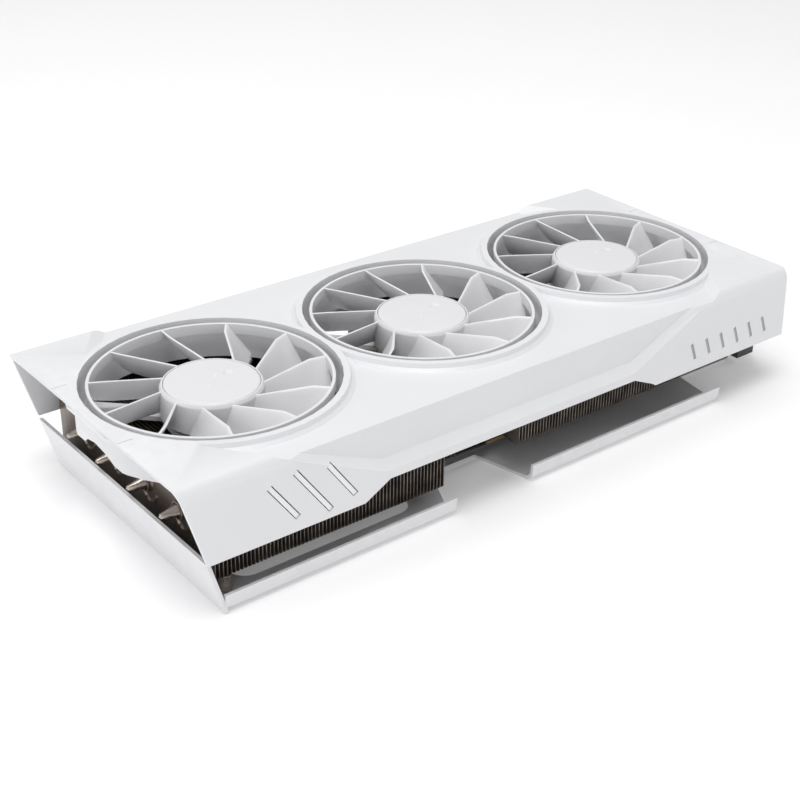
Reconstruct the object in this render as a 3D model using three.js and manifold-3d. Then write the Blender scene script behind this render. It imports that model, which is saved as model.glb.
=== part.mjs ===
// A three-fan graphics card, lying on its backplate with its fans up.
// Millimetres. +X runs along the card to its input/output bracket, -Y is the long side
// where the power plugs go in, +Y is the side of the slot connector, and +Z is the way
// the fans face. Inside the card group, X = 0, Y = 0 is the middle fan's axis and Z = 0
// is the backplate's underside.

import * as THREE from 'three';
import { mergeVertices } from 'three/addons/utils/BufferGeometryUtils.js';
import { ConvexGeometry } from 'three/addons/geometries/ConvexGeometry.js';
import Module from 'manifold-3d';

const wasm = await Module();
wasm.setup();

// ---------------------------------------------------------------- driving dimensions

const fanCount = 3;
const openingRadius = 51.6;     // fan opening in the shroud
const openingBridge = 2.3;      // web between two neighbouring openings
const endMargin = 3.65;         // opening to either end of the shroud
const backMargin = 12.2;        // opening to the back wall
const frontMargin = 13.3;       // opening to the start of the front fillet
const cardThickness = 57.5;     // backplate's underside to the rim plane
const seat = 0.3;               // clearance between pieces that seat on each other

const shroudWall = 2;
const endSlope = 0.283;         // undercut of the open end, per millimetre of height
const frontFilletOut = 3.6;     // how far the front fillet comes out
const frontFilletDrop = 5.2;    // and how far down it reaches
const frontFlare = 1.5;         // further lean of the front wall down to its bottom edge
const frontWallDepth = 32.6;
const frontWaistDepth = 26.3;   // front wall depth in its shallow middle stretch
const backWallDepth = 30.5;
const recessDepth = 3;          // the middle of the top and front lie this much deeper
const rimWidth = 2.7;
const coveWidth = 2.2;
const ductWall = 1.8;
const ductDepth = 18;
const seamLength = 6.5;         // parting grooves on the top at both ends
const seamWidth = 0.4;
const seamOffset = 26;
const recessRun = 5.4;          // slope round the sunk middle of the top
const recessLeft = 23.5;        // open end to that slope, beside the fans
const recessCornerLeft = 43;    // and past them
const recessRight = 29.2;       // the same from the bracket's end
const recessCornerRight = 48;
const recessKnee = 6.9;         // inside the opening's edge, where the slope turns
const frontRecessIn = 1.1;      // how far the front recess is set into the wall
const frontRecessLeft = 88;
const frontRecessRight = 99;
const frontRecessDrop = 18.8;   // rim plane to its lower edge
const frontRecessRake = 0.43;
const waistLeft = 76;           // shallow stretch of the front wall
const waistRight = 84;
const gillLengths = [20, 26, 20];
const gillWidth = 2.6;
const gillStart = 42;           // open end to the first gill's middle
const gillPitch = 13;
const gillDrop = 19;
const gillTilt = 0.95;
const barCount = 6;
const barSize = [1.7, 3, 8.5];
const barStart = 62;            // bracket's end to the first bar
const barPitch = 9.5;
const barDrop = 23.5;
const barTilt = 0.35;

const openingSides = 48;        // sides of the polygons that stand for the round openings

const bladeCount = 11;
const tipGap = 3.1;             // opening to the rotor's ring
const ringDrop = 0.7;           // rim plane down to the ring's top
const ringThickness = 1.3;
const ringHeight = 4.8;
const hubRadius = 20.7;
const hubHeight = 13.2;
const hubWall = 1.8;
const hubRim = 1.7;             // hub left standing round its cap
const capThickness = 1;
const capProud = 0.2;           // how far the cap stands over the hub
const bossWall = 2.5;
const shaftGrip = 0.6;          // how far the shaft goes into the hub's floor
const rotorDrop = 3;            // rim plane down to the hub's top
const bladeEdgeDrop = 0.4;      // hub's or ring's top down to the blade's top edge
const bladeHeight = 12.7;       // at the hub
const bladeLift = 2;            // how much higher the blade's foot is at the ring
const bladeThickness = 1.3;
const bladeSweep = 0.3;         // radians the top edge leads from the hub to its bend
const bladeBend = 0.75;         // where the top edge bends, as a share of the way out
const bladeWrap = 0.32;         // radians the blade's foot trails its top edge at the hub
const bladeUnwrap = 0.1;        // how much less it trails at the ring
const shaftRadius = 1.5;
const magnetThickness = 1.7;
const airGap = 0.8;             // magnet to the stator's poles
const sleeveWall = 1.8;
const hubTubeWall = 1.4;        // collar that holds the bearing sleeve
const frameThickness = 2;
const frameArmWidth = 8.5;
const frameArms = 4;
const poleCount = 9;
const statorHeight = 6.8;

const backplateSheet = 1.5;
const boardGap = 3.9;           // backplate to circuit board
const boardThickness = 1.6;
const boardWidth = 111.15;      // slot contacts to the opposite edge
const slotOverhang = 7.7;       // slot contacts past the shroud's back wall
const contactTongue = 8.2;
const packageSide = 45;
const gpuSetback = 51.65;       // board's front edge to the package's middle
const packageHeight = 1.5;
const dieSide = 24;
const dieHeight = 0.8;
const coldPlateSide = 59;
const coldPlateThickness = 4;
const pipeRadius = 3;
const pipeCover = 2.1;          // fin over a heat pipe in the far stack
const pipeTaper = 8;            // length of its pointed tip
const pipeTipRadius = 0.9;
const pipeCount = 4;
const pipeSpreadPitch = 24.4;   // heat pipes in the far stack
const pipePackedPitch = 9;      // heat pipes on the cold plate
const finThickness = 2;
const finPitch = 12.4;
const finOverhang = 4.9;        // fin edge inside the start of the front fillet
const postHeight = 7.5;         // backplate to the far stack
const endFinInset = 3.62;       // leaning end to the first fin, at the fin's foot
const tipReach = 9.2;           // how far the pipes' tips stand out of that fin
const stackSplitLeft = -36;     // the gap between the stacks, where the power sockets are
const stackSplitRight = 4.3;
const finClearance = 2.5;       // fan frame to the fins under it

const springSpan = 50;          // between the retention bracket's screws
const springShank = 1.5;
const springHead = 3;
const screwShank = 1.2;
const screwHead = 2.6;
const postRadius = 3;
const bossRadius = 4.2;
const retentionSpan = 72;       // window in the backplate round the retention bracket
const retentionSheet = 1.2;
const retentionDrop = 1.8;      // board to the bracket's lower face
const springHeadHeight = 2;
const springBite = 1.2;         // cold plate left over the spring screws' tips
const footSheet = 1;            // feet of the input/output bracket on the board
const memoryCount = 4;
const memoryWidth = 12;
const memoryLength = 14;
const memoryHeight = 1.1;
const memoryGap = 5;
const powerSockets = 2;
const socketWidth = 18.6;
const socketHeight = 10;
const socketLength = 16;
const socketDepth = 10.5;
const socketWall = 1.2;
const latchHeight = 1.5;
const socketProud = 2.4;
const portCount = 4;            // display sockets
const portWidth = 16.4;
const portHeight = 6.4;
const portLength = 18.5;
const portDepth = 11;
const portSkin = 0.8;
const portProud = 0.6;
const portPitch = 19.2;
const portFirst = 15.65;        // board's front edge to the first display socket's middle
const slotKeyX = 57.15;         // bracket to the key in the slot contacts
const switchX = 16;             // firmware selector switch
const switchLength = 9;
const switchBreadth = 3.6;
const switchHeight = 3.6;
const switchTravel = 2.2;
const knobWidth = 1.8;
const ventCount = 12;
const ventPitch = 7.6;
const ventWidth = 4.4;
const lipHeight = 8.5;
const lipRoot = 5;              // backplate's edge to where its front lip starts to bend
const notchLeft = stackSplitLeft;
const notchRight = stackSplitRight + 1;

const bracketSheet = 1;
const bracketHeight = 120;      // along Y
const bracketWidth = 38.7;      // two slots wide, along Z
const tabLength = 10.6;
const tabSetback = 118;         // screw tab to the slot contacts

// ---------------------------------------------------------------- derived stations

const fanPitch = 2 * openingRadius + openingBridge;
const fanX = Array.from({ length: fanCount }, (_, i) => (i - (fanCount - 1) / 2) * fanPitch);
const rightEnd = fanX[fanCount - 1] + openingRadius + endMargin;
const leftEnd = -rightEnd;
const backY = openingRadius + backMargin;
const frontY = -(openingRadius + frontMargin);
const frontFootY = frontY - frontFilletOut;
const frontLowY = frontFootY - frontFlare;
const rimPlane = cardThickness;
const ductBottom = rimPlane - ductDepth;
const frameTop = ductBottom - seat;
const frameBottom = frameTop - frameThickness;
const finTop = frameBottom - finClearance;
const rotorTop = rimPlane - rotorDrop;
const ringTop = rimPlane - ringDrop;
const ringOuter = openingRadius - tipGap;
const rotorBottom = rotorTop - hubHeight;
const capRadius = hubRadius - hubRim;
const capBottom = rotorTop + capProud - capThickness;
const hubFloor = capBottom - seat - hubWall;
const magnetOuter = hubRadius - hubWall - seat;
const sleeveOuter = shaftRadius + seat + sleeveWall;
const boardBottom = backplateSheet + boardGap;
const boardTop = boardBottom + boardThickness;
const boardBack = backY + slotOverhang;
const socketTop = boardTop + seat + socketHeight + latchHeight;
const boardFront = boardBack - boardWidth;
const boardBodyBack = boardBack - contactTongue;
const boardLeft = stackSplitLeft - 2;
const packageBottom = boardTop + seat;
const coldPlateBottom = packageBottom + packageHeight + dieHeight + seat;
const coldPlateTop = coldPlateBottom + coldPlateThickness;
const pipeLow = coldPlateTop + seat + pipeRadius;
const pipeHigh = Math.max(finTop - pipeRadius - pipeCover, socketTop + 2 * seat + pipeRadius);
const nearStackBottom = coldPlateTop + 1.1;
const farStackBottom = backplateSheet + postHeight;
const finFront = frontY + finOverhang;
const finBack = backY - 3.8;
const nearStackRight = rightEnd - 24.7;
const bracketX = rightEnd + seat;
const boardRight = rightEnd;
const tabY = boardBack - tabSetback;
const bracketLow = boardBottom - 3;
const plateFront = frontLowY + 3;
const plateBack = backY - 1.5;
const plateRight = rightEnd - 2;
const plateCornerX = rightEnd - 39;
const gpuX = (stackSplitRight + nearStackRight) / 2 - 2;
const gpuY = boardFront + gpuSetback;
const cornerTop = rimPlane - recessDepth - shroudWall - 2.5;

// The left end leans: its X at a height Z.
const endX = (z) => leftEnd + endSlope * (rimPlane - z);
const farStackLeft = endX(farStackBottom) + endFinInset;

// ---------------------------------------------------------------- solid helpers

function solid(geometry, matrix) {
  const shape = geometry.index ? geometry.toNonIndexed() : geometry.clone();
  shape.deleteAttribute('normal');
  shape.deleteAttribute('uv');
  if (matrix) shape.applyMatrix4(matrix);
  const merged = mergeVertices(shape, 1e-4);
  return new wasm.Manifold(new wasm.Mesh({
    numProp: 3,
    vertProperties: merged.attributes.position.array,
    triVerts: new Uint32Array(merged.index.array),
  }));
}

function box(x0, x1, y0, y1, z0, z1) {
  const centre = new THREE.Matrix4().makeTranslation((x0 + x1) / 2, (y0 + y1) / 2, (z0 + z1) / 2);
  return solid(new THREE.BoxGeometry(x1 - x0, y1 - y0, z1 - z0), centre);
}

function outline(points) {
  return new THREE.Shape(points.map(([u, v]) => new THREE.Vector2(u, v)));
}

// A shape in X and Y, raised from z0 to z1.
function plate(shape, z0, z1, curveSegments = 6) {
  const flat = new THREE.ExtrudeGeometry(shape, { depth: z1 - z0, bevelEnabled: false, curveSegments });
  return solid(flat, new THREE.Matrix4().makeTranslation(0, 0, z0));
}

// A shape in Y and Z, carried along X from x0 to x1.
function beamX(shape, x0, x1) {
  const flat = new THREE.ExtrudeGeometry(shape, { depth: x1 - x0, bevelEnabled: false, curveSegments: 6 });
  const turn = new THREE.Matrix4().makeBasis(
    new THREE.Vector3(0, 1, 0), new THREE.Vector3(0, 0, 1), new THREE.Vector3(1, 0, 0));
  return solid(flat, turn.setPosition(x0, 0, 0));
}

// A shape in X and Z, carried along Y from y0 to y1.
function beamY(shape, y0, y1) {
  const flat = new THREE.ExtrudeGeometry(shape, { depth: y1 - y0, bevelEnabled: false, curveSegments: 6 });
  const turn = new THREE.Matrix4().makeBasis(
    new THREE.Vector3(1, 0, 0), new THREE.Vector3(0, 0, 1), new THREE.Vector3(0, -1, 0));
  return solid(flat, turn.setPosition(0, y1, 0));
}

// A profile of [radius, z] points turned round a vertical axis.
function turned(profile, segments, x = 0, y = 0) {
  const points = profile.map(([r, z]) => new THREE.Vector2(r, z));
  const lathe = new THREE.LatheGeometry([...points, points[0]], segments);
  const upright = new THREE.Matrix4().makeRotationX(Math.PI / 2).setPosition(x, y, 0);
  return solid(lathe, upright);
}

function rod(radius, z0, z1, segments = 12, x = 0, y = 0) {
  const cylinder = new THREE.CylinderGeometry(radius, radius, z1 - z0, segments);
  const upright = new THREE.Matrix4().makeRotationX(Math.PI / 2).setPosition(x, y, (z0 + z1) / 2);
  return solid(cylinder, upright);
}

function tube(inner, outer, z0, z1, segments) {
  return turned([[inner, z0], [outer, z0], [outer, z1], [inner, z1]], segments);
}

function roundedRectangle(x0, x1, y0, y1, r) {
  const shape = new THREE.Shape();
  shape.moveTo(x0 + r, y0);
  shape.lineTo(x1 - r, y0);
  shape.absarc(x1 - r, y0 + r, r, -Math.PI / 2, 0);
  shape.absarc(x1 - r, y1 - r, r, 0, Math.PI / 2);
  shape.absarc(x0 + r, y1 - r, r, Math.PI / 2, Math.PI);
  shape.absarc(x0 + r, y0 + r, r, Math.PI, 1.5 * Math.PI);
  return shape;
}

function merge(parts) {
  return parts.reduce((whole, part) => whole.add(part));
}

function cut(body, parts) {
  return parts.reduce((rest, part) => rest.subtract(part), body);
}

function geometryOf(body) {
  const mesh = body.getMesh();
  const positions = new Float32Array(mesh.numVert * 3);
  for (let i = 0; i < mesh.numVert; i++) {
    positions.set(mesh.vertProperties.subarray(i * mesh.numProp, i * mesh.numProp + 3), 3 * i);
  }
  const geometry = new THREE.BufferGeometry();
  geometry.setAttribute('position', new THREE.BufferAttribute(positions, 3));
  geometry.setIndex(new THREE.BufferAttribute(new Uint32Array(mesh.triVerts), 1));
  geometry.computeVertexNormals();
  return geometry;
}

// ---------------------------------------------------------------- materials

function finish(color, roughness, metalness) {
  return () => new THREE.MeshStandardMaterial({ color, roughness, metalness });
}

const whitePlastic = finish(0xeeeef1, 0.45, 0);
const fanPlastic = finish(0xe9e9ed, 0.42, 0);
const greyPlastic = finish(0xb9bac0, 0.55, 0);
const whiteMetal = finish(0xe6e6ea, 0.4, 0.1);
const finMetal = finish(0x77695f, 0.38, 0.85);
const pipeMetal = finish(0xa08e80, 0.3, 0.9);
const copper = finish(0xb87a52, 0.35, 0.9);
const steel = finish(0x9a9a9e, 0.3, 0.9);
const darkSteel = finish(0x3a3a3e, 0.4, 0.8);
const magnet = finish(0x3c3d42, 0.6, 0.5);
const blackPlastic = finish(0x17171a, 0.5, 0);
const boardLaminate = finish(0x1b1d20, 0.5, 0.1);
const chip = finish(0x26282c, 0.45, 0.1);

// ---------------------------------------------------------------- group helpers

const card = new THREE.Group();

function place(parent, name, body, material) {
  const mesh = new THREE.Mesh(geometryOf(body), material());
  mesh.name = name;
  parent.add(mesh);
  return mesh;
}

// ---------------------------------------------------------------- shroud

// The cross-section of the shroud's outside, or of its hollow when it is set in by a wall.
function shroudSection(inset, bottom) {
  const top = rimPlane - inset;
  const fillet = new THREE.Shape();
  fillet.moveTo(backY - inset, bottom);
  fillet.lineTo(backY - inset, top - 1.2);
  fillet.lineTo(backY - inset - 1.2, top);
  fillet.lineTo(frontY + inset, top);
  fillet.quadraticCurveTo(
    frontFootY + inset + 1, top - 0.8, frontFootY + inset, rimPlane - frontFilletDrop);
  fillet.lineTo(frontLowY + inset, bottom);
  return fillet;
}

// The block of air over the sunk middle of the top: its foot is narrower than its mouth.
function topRecess(grow) {
  const foot = rimPlane - recessDepth - grow;
  const knee = openingRadius - recessKnee;
  const reach = backY + backMargin - 4;
  const points = [];
  for (const [z, spread] of [[foot, 0], [foot + 4 * recessDepth, 4 * recessRun]]) {
    const widen = recessRun - spread - grow;
    for (const side of [-1, 1]) {
      points.push(new THREE.Vector3(leftEnd + recessLeft + widen, side * knee, z));
      points.push(new THREE.Vector3(leftEnd + recessCornerLeft + widen, side * reach, z));
      points.push(new THREE.Vector3(rightEnd - recessRight - widen, side * knee, z));
      points.push(new THREE.Vector3(rightEnd - recessCornerRight - widen, side * reach, z));
    }
  }
  return solid(new ConvexGeometry(points));
}

// The same for the front wall: a shallow trapezium with a sloping border.
function frontRecess(grow) {
  const innerY = frontY - frontRecessIn + grow;
  const bottomLeft = leftEnd + frontRecessLeft;
  const bottomRight = rightEnd - frontRecessRight;
  const bottom = rimPlane - frontRecessDrop - grow;
  const high = rimPlane + 8;
  const reach = (high - bottom) / frontRecessRake;
  const points = [];
  for (const [y, drop] of [[innerY, 0], [innerY - 8, 9]]) {
    points.push(new THREE.Vector3(bottomLeft - grow, y, bottom - drop));
    points.push(new THREE.Vector3(bottomRight + grow, y, bottom - drop));
    points.push(new THREE.Vector3(bottomRight + grow + reach + 1.2 * drop, y, high));
    points.push(new THREE.Vector3(bottomLeft - grow - reach - 1.2 * drop, y, high));
  }
  return solid(new ConvexGeometry(points));
}

// Rim, cove and duct of one fan opening, as one turned ring.
function fanSurround(x) {
  const rim = openingRadius + rimWidth;
  const sunk = rimPlane - recessDepth;
  return turned([
    [openingRadius - 1, ductBottom],
    [openingRadius + ductWall, ductBottom],
    [openingRadius + ductWall, sunk - shroudWall],
    [rim + coveWidth, sunk - shroudWall],
    [rim + coveWidth, sunk],
    [rim + 0.3 * coveWidth, sunk + 0.4 * recessDepth],
    [rim, rimPlane],
    [openingRadius - 1, rimPlane],
  ], openingSides, x);
}

// What is taken off the bottom of the front wall in the middle of the card.
function waistCut() {
  const shallow = rimPlane - frontWaistDepth;
  const deep = rimPlane - frontWallDepth - 1;
  const left = leftEnd + waistLeft;
  const right = rightEnd - waistRight;
  return beamY(outline([
    [left, deep], [right, deep], [right - 4, deep + 2.5], [right - 15, shallow], [left + 14, shallow],
  ]), frontLowY - 2, frontY + 4);
}

// Slanted slots through the front wall near the open end.
function gillSlots() {
  const slots = [];
  for (const [i, length] of gillLengths.entries()) {
    const slot = new THREE.Matrix4()
      .makeTranslation(leftEnd + gillStart + gillPitch * i, frontFootY - 0.5, rimPlane - gillDrop)
      .multiply(new THREE.Matrix4().makeRotationY(gillTilt));
    slots.push(solid(new THREE.BoxGeometry(length, 8, gillWidth), slot));
  }
  return slots;
}

// A row of short bars sunk into the front wall near the bracket.
function barRow() {
  const bars = [];
  for (let i = 0; i < barCount; i++) {
    const bar = new THREE.Matrix4()
      .makeTranslation(rightEnd - barStart + barPitch * i, frontFootY - frontFlare, rimPlane - barDrop)
      .multiply(new THREE.Matrix4().makeRotationY(-barTilt));
    bars.push(solid(new THREE.BoxGeometry(...barSize), bar));
  }
  return bars;
}

// Short parting grooves in the top, two at either end.
function seamGrooves() {
  const ends = [[leftEnd - 1, leftEnd + seamLength], [rightEnd - seamLength, rightEnd + 1]];
  return ends.flatMap(([x0, x1]) => [-seamOffset, seamOffset].map((y) => box(
    x0, x1, y - seamWidth / 2, y + seamWidth / 2, rimPlane - seamWidth, rimPlane + 1)));
}

function shroud() {
  const bottom = rimPlane - frontWallDepth;
  const outside = beamX(shroudSection(0, bottom), leftEnd - 1, rightEnd);
  const hollow = beamX(shroudSection(shroudWall, bottom - 1), leftEnd - 2, rightEnd + 1);
  const recess = topRecess(0).add(frontRecess(0));
  const recessRoof = topRecess(shroudWall).add(frontRecess(shroudWall));
  const leaning = beamY(outline([
    [leftEnd - 30, rimPlane + 10], [endX(rimPlane + 10), rimPlane + 10],
    [endX(0), 0], [leftEnd - 30, 0],
  ]), frontLowY - 10, backY + 10);
  const shell = outside.subtract(recess).subtract(hollow.subtract(recessRoof));
  const surrounds = merge(fanX.map(fanSurround)).intersect(outside);
  const openings = fanX.map((x) => rod(openingRadius, 0, rimPlane + 10, openingSides, x));
  const backStep = box(
    leftEnd - 10, rightEnd + 10, backY - 10, backY + 10, bottom - 5, rimPlane - backWallDepth);
  return cut(shell.add(surrounds), [
    ...openings, leaning, backStep, waistCut(), ...gillSlots(), ...barRow(), ...seamGrooves(),
  ]);
}

// ---------------------------------------------------------------- fans

// A blade from hub to ring: a slab whose length runs outwards. Its top edge rises and leads
// up to its bend, and its depth trails round the axis as it goes down.
function blade(turn) {
  const slab = new THREE.BoxGeometry(1, 1, 1, 4, 1, 3);
  const position = slab.attributes.position;
  const inner = hubRadius - 0.8;
  const outer = ringOuter - 0.5 * ringThickness;
  for (let i = 0; i < position.count; i++) {
    const out = position.getX(i) + 0.5;
    const side = position.getY(i);
    const down = 0.5 - position.getZ(i);
    const radius = inner + (outer - inner) * out;
    const rise = Math.min(out / bladeBend, 1);
    const top = rotorTop + (ringTop - rotorTop) * rise - bladeEdgeDrop;
    const foot = rotorTop - bladeEdgeDrop - bladeHeight + bladeLift * out;
    const trail = (bladeWrap - bladeUnwrap * out) * down;
    const angle = turn + bladeSweep * rise - trail + side * bladeThickness * 1.2 / radius;
    position.setXYZ(i, radius * Math.cos(angle), radius * Math.sin(angle), top + (foot - top) * down);
  }
  return solid(slab);
}

function rotor() {
  const boss = shaftRadius + bossWall;
  const bore = shaftRadius + seat;
  const seatTop = capBottom - seat;
  const hub = turned([
    [bore, hubFloor - 3], [boss, hubFloor - 3], [boss, hubFloor], [hubRadius - hubWall, hubFloor],
    [hubRadius - hubWall, rotorBottom], [hubRadius, rotorBottom], [hubRadius, rotorTop - 1.2],
    [hubRadius - 0.7, rotorTop], [capRadius + seat, rotorTop], [capRadius + seat, seatTop],
    [bore, seatTop],
  ], 2 * bladeCount);
  const ring = tube(ringOuter - ringThickness, ringOuter, ringTop - ringHeight, ringTop, 3 * bladeCount);
  const blades = Array.from({ length: bladeCount }, (_, i) => blade(i * 2 * Math.PI / bladeCount));
  const shaftPocket = rod(bore, hubFloor - 4, hubFloor + shaftGrip, 12);
  const lid = rod(boss - 0.5, hubFloor + shaftGrip, seatTop, 12);
  return merge([hub, ring, ...blades]).add(lid).subtract(shaftPocket);
}

function hubCap() {
  const top = capBottom + capThickness;
  return turned([
    [0, capBottom], [capRadius, capBottom], [capRadius, top - 0.3], [capRadius - 0.8, top],
    [0, top + 0.2],
  ], 2 * bladeCount);
}

function magnetRing() {
  return tube(magnetOuter - magnetThickness, magnetOuter, rotorBottom + 0.8, hubFloor - seat, 20);
}

function motorShaft() {
  return rod(shaftRadius, frameTop + seat, hubFloor + shaftGrip - seat, 10);
}

// A laminated core with pole arms under coils, drawn as one star-shaped outline.
function stator() {
  const tip = magnetOuter - magnetThickness - airGap;
  const waist = 0.62 * tip;
  const shape = new THREE.Shape();
  for (let i = 0; i < poleCount; i++) {
    const step = 2 * Math.PI / poleCount;
    for (const [turn, radius] of [[-0.36, tip], [0.36, tip], [0.4, waist], [0.6, waist]]) {
      const angle = (i + turn) * step;
      const x = radius * Math.cos(angle);
      const y = radius * Math.sin(angle);
      if (i === 0 && turn === -0.36) shape.moveTo(x, y);
      else shape.lineTo(x, y);
    }
  }
  const bottom = frameTop + seat;
  const top = bottom + statorHeight;
  const bore = sleeveOuter + hubTubeWall + 2 * seat;
  return plate(shape, bottom, top).subtract(rod(bore, bottom - 1, top + 1, 12));
}

function bearingSleeve() {
  return tube(shaftRadius + seat, sleeveOuter, frameTop + seat, frameTop + statorHeight, 12);
}

// Motor seat on arms that reach under the shroud's duct wall.
function fanFrame() {
  const base = rod(hubRadius - 1.5, frameBottom, frameTop, 24);
  const collar = tube(
    sleeveOuter + seat, sleeveOuter + seat + hubTubeWall, frameTop - 0.5, frameTop + statorHeight, 12);
  const arms = [];
  for (let i = 0; i < frameArms; i++) {
    const turn = new THREE.Matrix4().makeRotationZ((i + 0.5) * 2 * Math.PI / frameArms);
    const reach = openingRadius + ductWall;
    const arm = new THREE.Matrix4().makeTranslation(
      (hubRadius - 4 + reach) / 2, 0, (frameBottom + frameTop) / 2);
    arms.push(solid(
      new THREE.BoxGeometry(reach - hubRadius + 4, frameArmWidth, frameThickness), turn.multiply(arm)));
  }
  return merge([base, collar, ...arms]);
}

function addFans() {
  for (const [i, x] of fanX.entries()) {
    const fan = new THREE.Group();
    fan.position.x = x;
    const number = i + 1;
    place(fan, `fan_rotor_${number}`, rotor(), fanPlastic);
    place(fan, `hub_cap_${number}`, hubCap(), fanPlastic);
    place(fan, `magnet_ring_${number}`, magnetRing(), magnet);
    place(fan, `motor_shaft_${number}`, motorShaft(), steel);
    place(fan, `stator_${number}`, stator(), copper);
    place(fan, `bearing_sleeve_${number}`, bearingSleeve(), steel);
    place(fan, `fan_frame_${number}`, fanFrame(), greyPlastic);
    card.add(fan);
  }
}

// ---------------------------------------------------------------- heatsink

const pipeMiddle = (pipeCount - 1) / 2;
const spreadY = (i) => (pipeMiddle - i) * pipeSpreadPitch - 1.5;
const packedY = (i) => gpuY + (pipeMiddle - i) * pipePackedPitch;

// The low middle of a fin is as broad as the fan ducts over it, which the tall corners
// on either side leave free.
function finOutline(x, bottom) {
  const clear = openingRadius + ductWall + 1;
  const off = Math.min(...fanX.map(
    (fan) => Math.max(Math.abs(x + finThickness / 2 - fan) - finThickness / 2, 0)));
  const half = Math.sqrt(Math.max(clear * clear - off * off, 16));
  return outline([
    [finFront, bottom], [finBack, bottom], [finBack, cornerTop], [half, cornerTop], [half, finTop],
    [-half, finTop], [-half, cornerTop], [finFront, cornerTop],
  ]);
}

// Fins across X between x0 and x1, tied by the folded flanges along their edges.
function finStack(x0, x1, bottom, pipeY, pipeZ, notchBottom) {
  const count = Math.round((x1 - x0 - finThickness) / finPitch);
  const pitch = (x1 - x0 - finThickness) / count;
  const pieces = [];
  for (let i = 0; i <= count; i++) {
    const x = x0 + i * pitch;
    pieces.push(beamX(finOutline(x, bottom), x, x + finThickness));
  }
  const flange = 0.8;
  const strip = 7;
  for (const y of [finFront, finBack - strip]) {
    pieces.push(box(x0, x1, y, y + strip, bottom, bottom + flange));
  }
  const half = pipeRadius + seat + 0.1;
  const wayBottom = notchBottom ? bottom - 1 : pipeZ - half;
  const ways = Array.from({ length: pipeCount }, (_, i) => box(
    x0 - 1, x1 + 1, pipeY(i) - half, pipeY(i) + half, wayBottom, pipeZ + half));
  return cut(merge(pieces), ways);
}

// A round pipe from its tapered tip outside the far stack's end fin, through that stack,
// down across the gap and along the cold plate.
function heatPipe(i) {
  const tip = farStackLeft - tipReach;
  const lap = 1;
  const high = new THREE.Vector3(stackSplitLeft + 1, spreadY(i), pipeHigh);
  const low = new THREE.Vector3(stackSplitRight - 1, packedY(i), pipeLow);
  const pull = new THREE.Vector3(0.45 * (low.x - high.x), 0, 0);
  const legs = [
    [new THREE.LineCurve3(high.clone().setX(tip + pipeTaper), high.clone().setX(high.x + lap)), 1],
    [new THREE.CubicBezierCurve3(high, high.clone().add(pull), low.clone().sub(pull), low), 8],
    [new THREE.LineCurve3(low.clone().setX(low.x - lap), low.clone().setX(nearStackRight - 8)), 1],
  ];
  const round = new THREE.Shape().absarc(0, 0, pipeRadius, 0, 2 * Math.PI);
  const tubes = legs.map(([leg, steps]) => solid(new THREE.ExtrudeGeometry(
    round, { extrudePath: leg, steps, curveSegments: 4, bevelEnabled: false })));
  const point = new THREE.CylinderGeometry(pipeTipRadius, pipeRadius, pipeTaper + lap, 8);
  const turn = new THREE.Matrix4().makeRotationZ(Math.PI / 2);
  turn.setPosition(tip + (pipeTaper + lap) / 2, high.y, high.z);
  return merge([...tubes, solid(point, turn)]);
}

// Where the four spring screws of the retention bracket stand.
const springScrews = [[-1, -1], [1, -1], [1, 1], [-1, 1]].map(
  ([i, j]) => [gpuX + i * springSpan / 2, gpuY + j * springSpan / 2]);

function coldPlate() {
  const half = coldPlateSide / 2;
  const slab = plate(
    roundedRectangle(gpuX - half, gpuX + half, gpuY - half, gpuY + half, 3),
    coldPlateBottom, coldPlateTop, 2);
  return cut(slab, springScrews.map(
    ([x, y]) => rod(springShank + seat, coldPlateBottom - 1, coldPlateTop - springBite, 10, x, y)));
}

function addHeatsink() {
  place(card, 'fin_stack_far',
    finStack(farStackLeft, stackSplitLeft, farStackBottom, spreadY, pipeHigh, false), finMetal);
  place(card, 'fin_stack_near',
    finStack(stackSplitRight, nearStackRight, nearStackBottom, packedY, pipeLow, true), finMetal);
  place(card, 'cold_plate', coldPlate(), copper);
  for (let i = 0; i < pipeCount; i++) {
    place(card, `heat_pipe_${i + 1}`, heatPipe(i), pipeMetal);
  }
}

// ---------------------------------------------------------------- circuit board

const socketX0 = stackSplitLeft + 1;
const socketPitch = socketWidth + 0.6;
const portYs = Array.from({ length: portCount }, (_, i) => boardFront + portFirst + i * portPitch);
const lugs = [[boardFront + 0.6, boardFront + 5.6], [portYs[portCount - 1] + 12, portYs[portCount - 1] + 20]];
const lugScrewX = bracketX - 5;
const posts = [
  [farStackLeft + 6, finFront + 4, farStackBottom],
  [farStackLeft + 6, finBack - 4, farStackBottom],
  [nearStackRight - 6, boardFront + 6, nearStackBottom],
  [nearStackRight - 6, boardBodyBack - 8, nearStackBottom],
];

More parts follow.
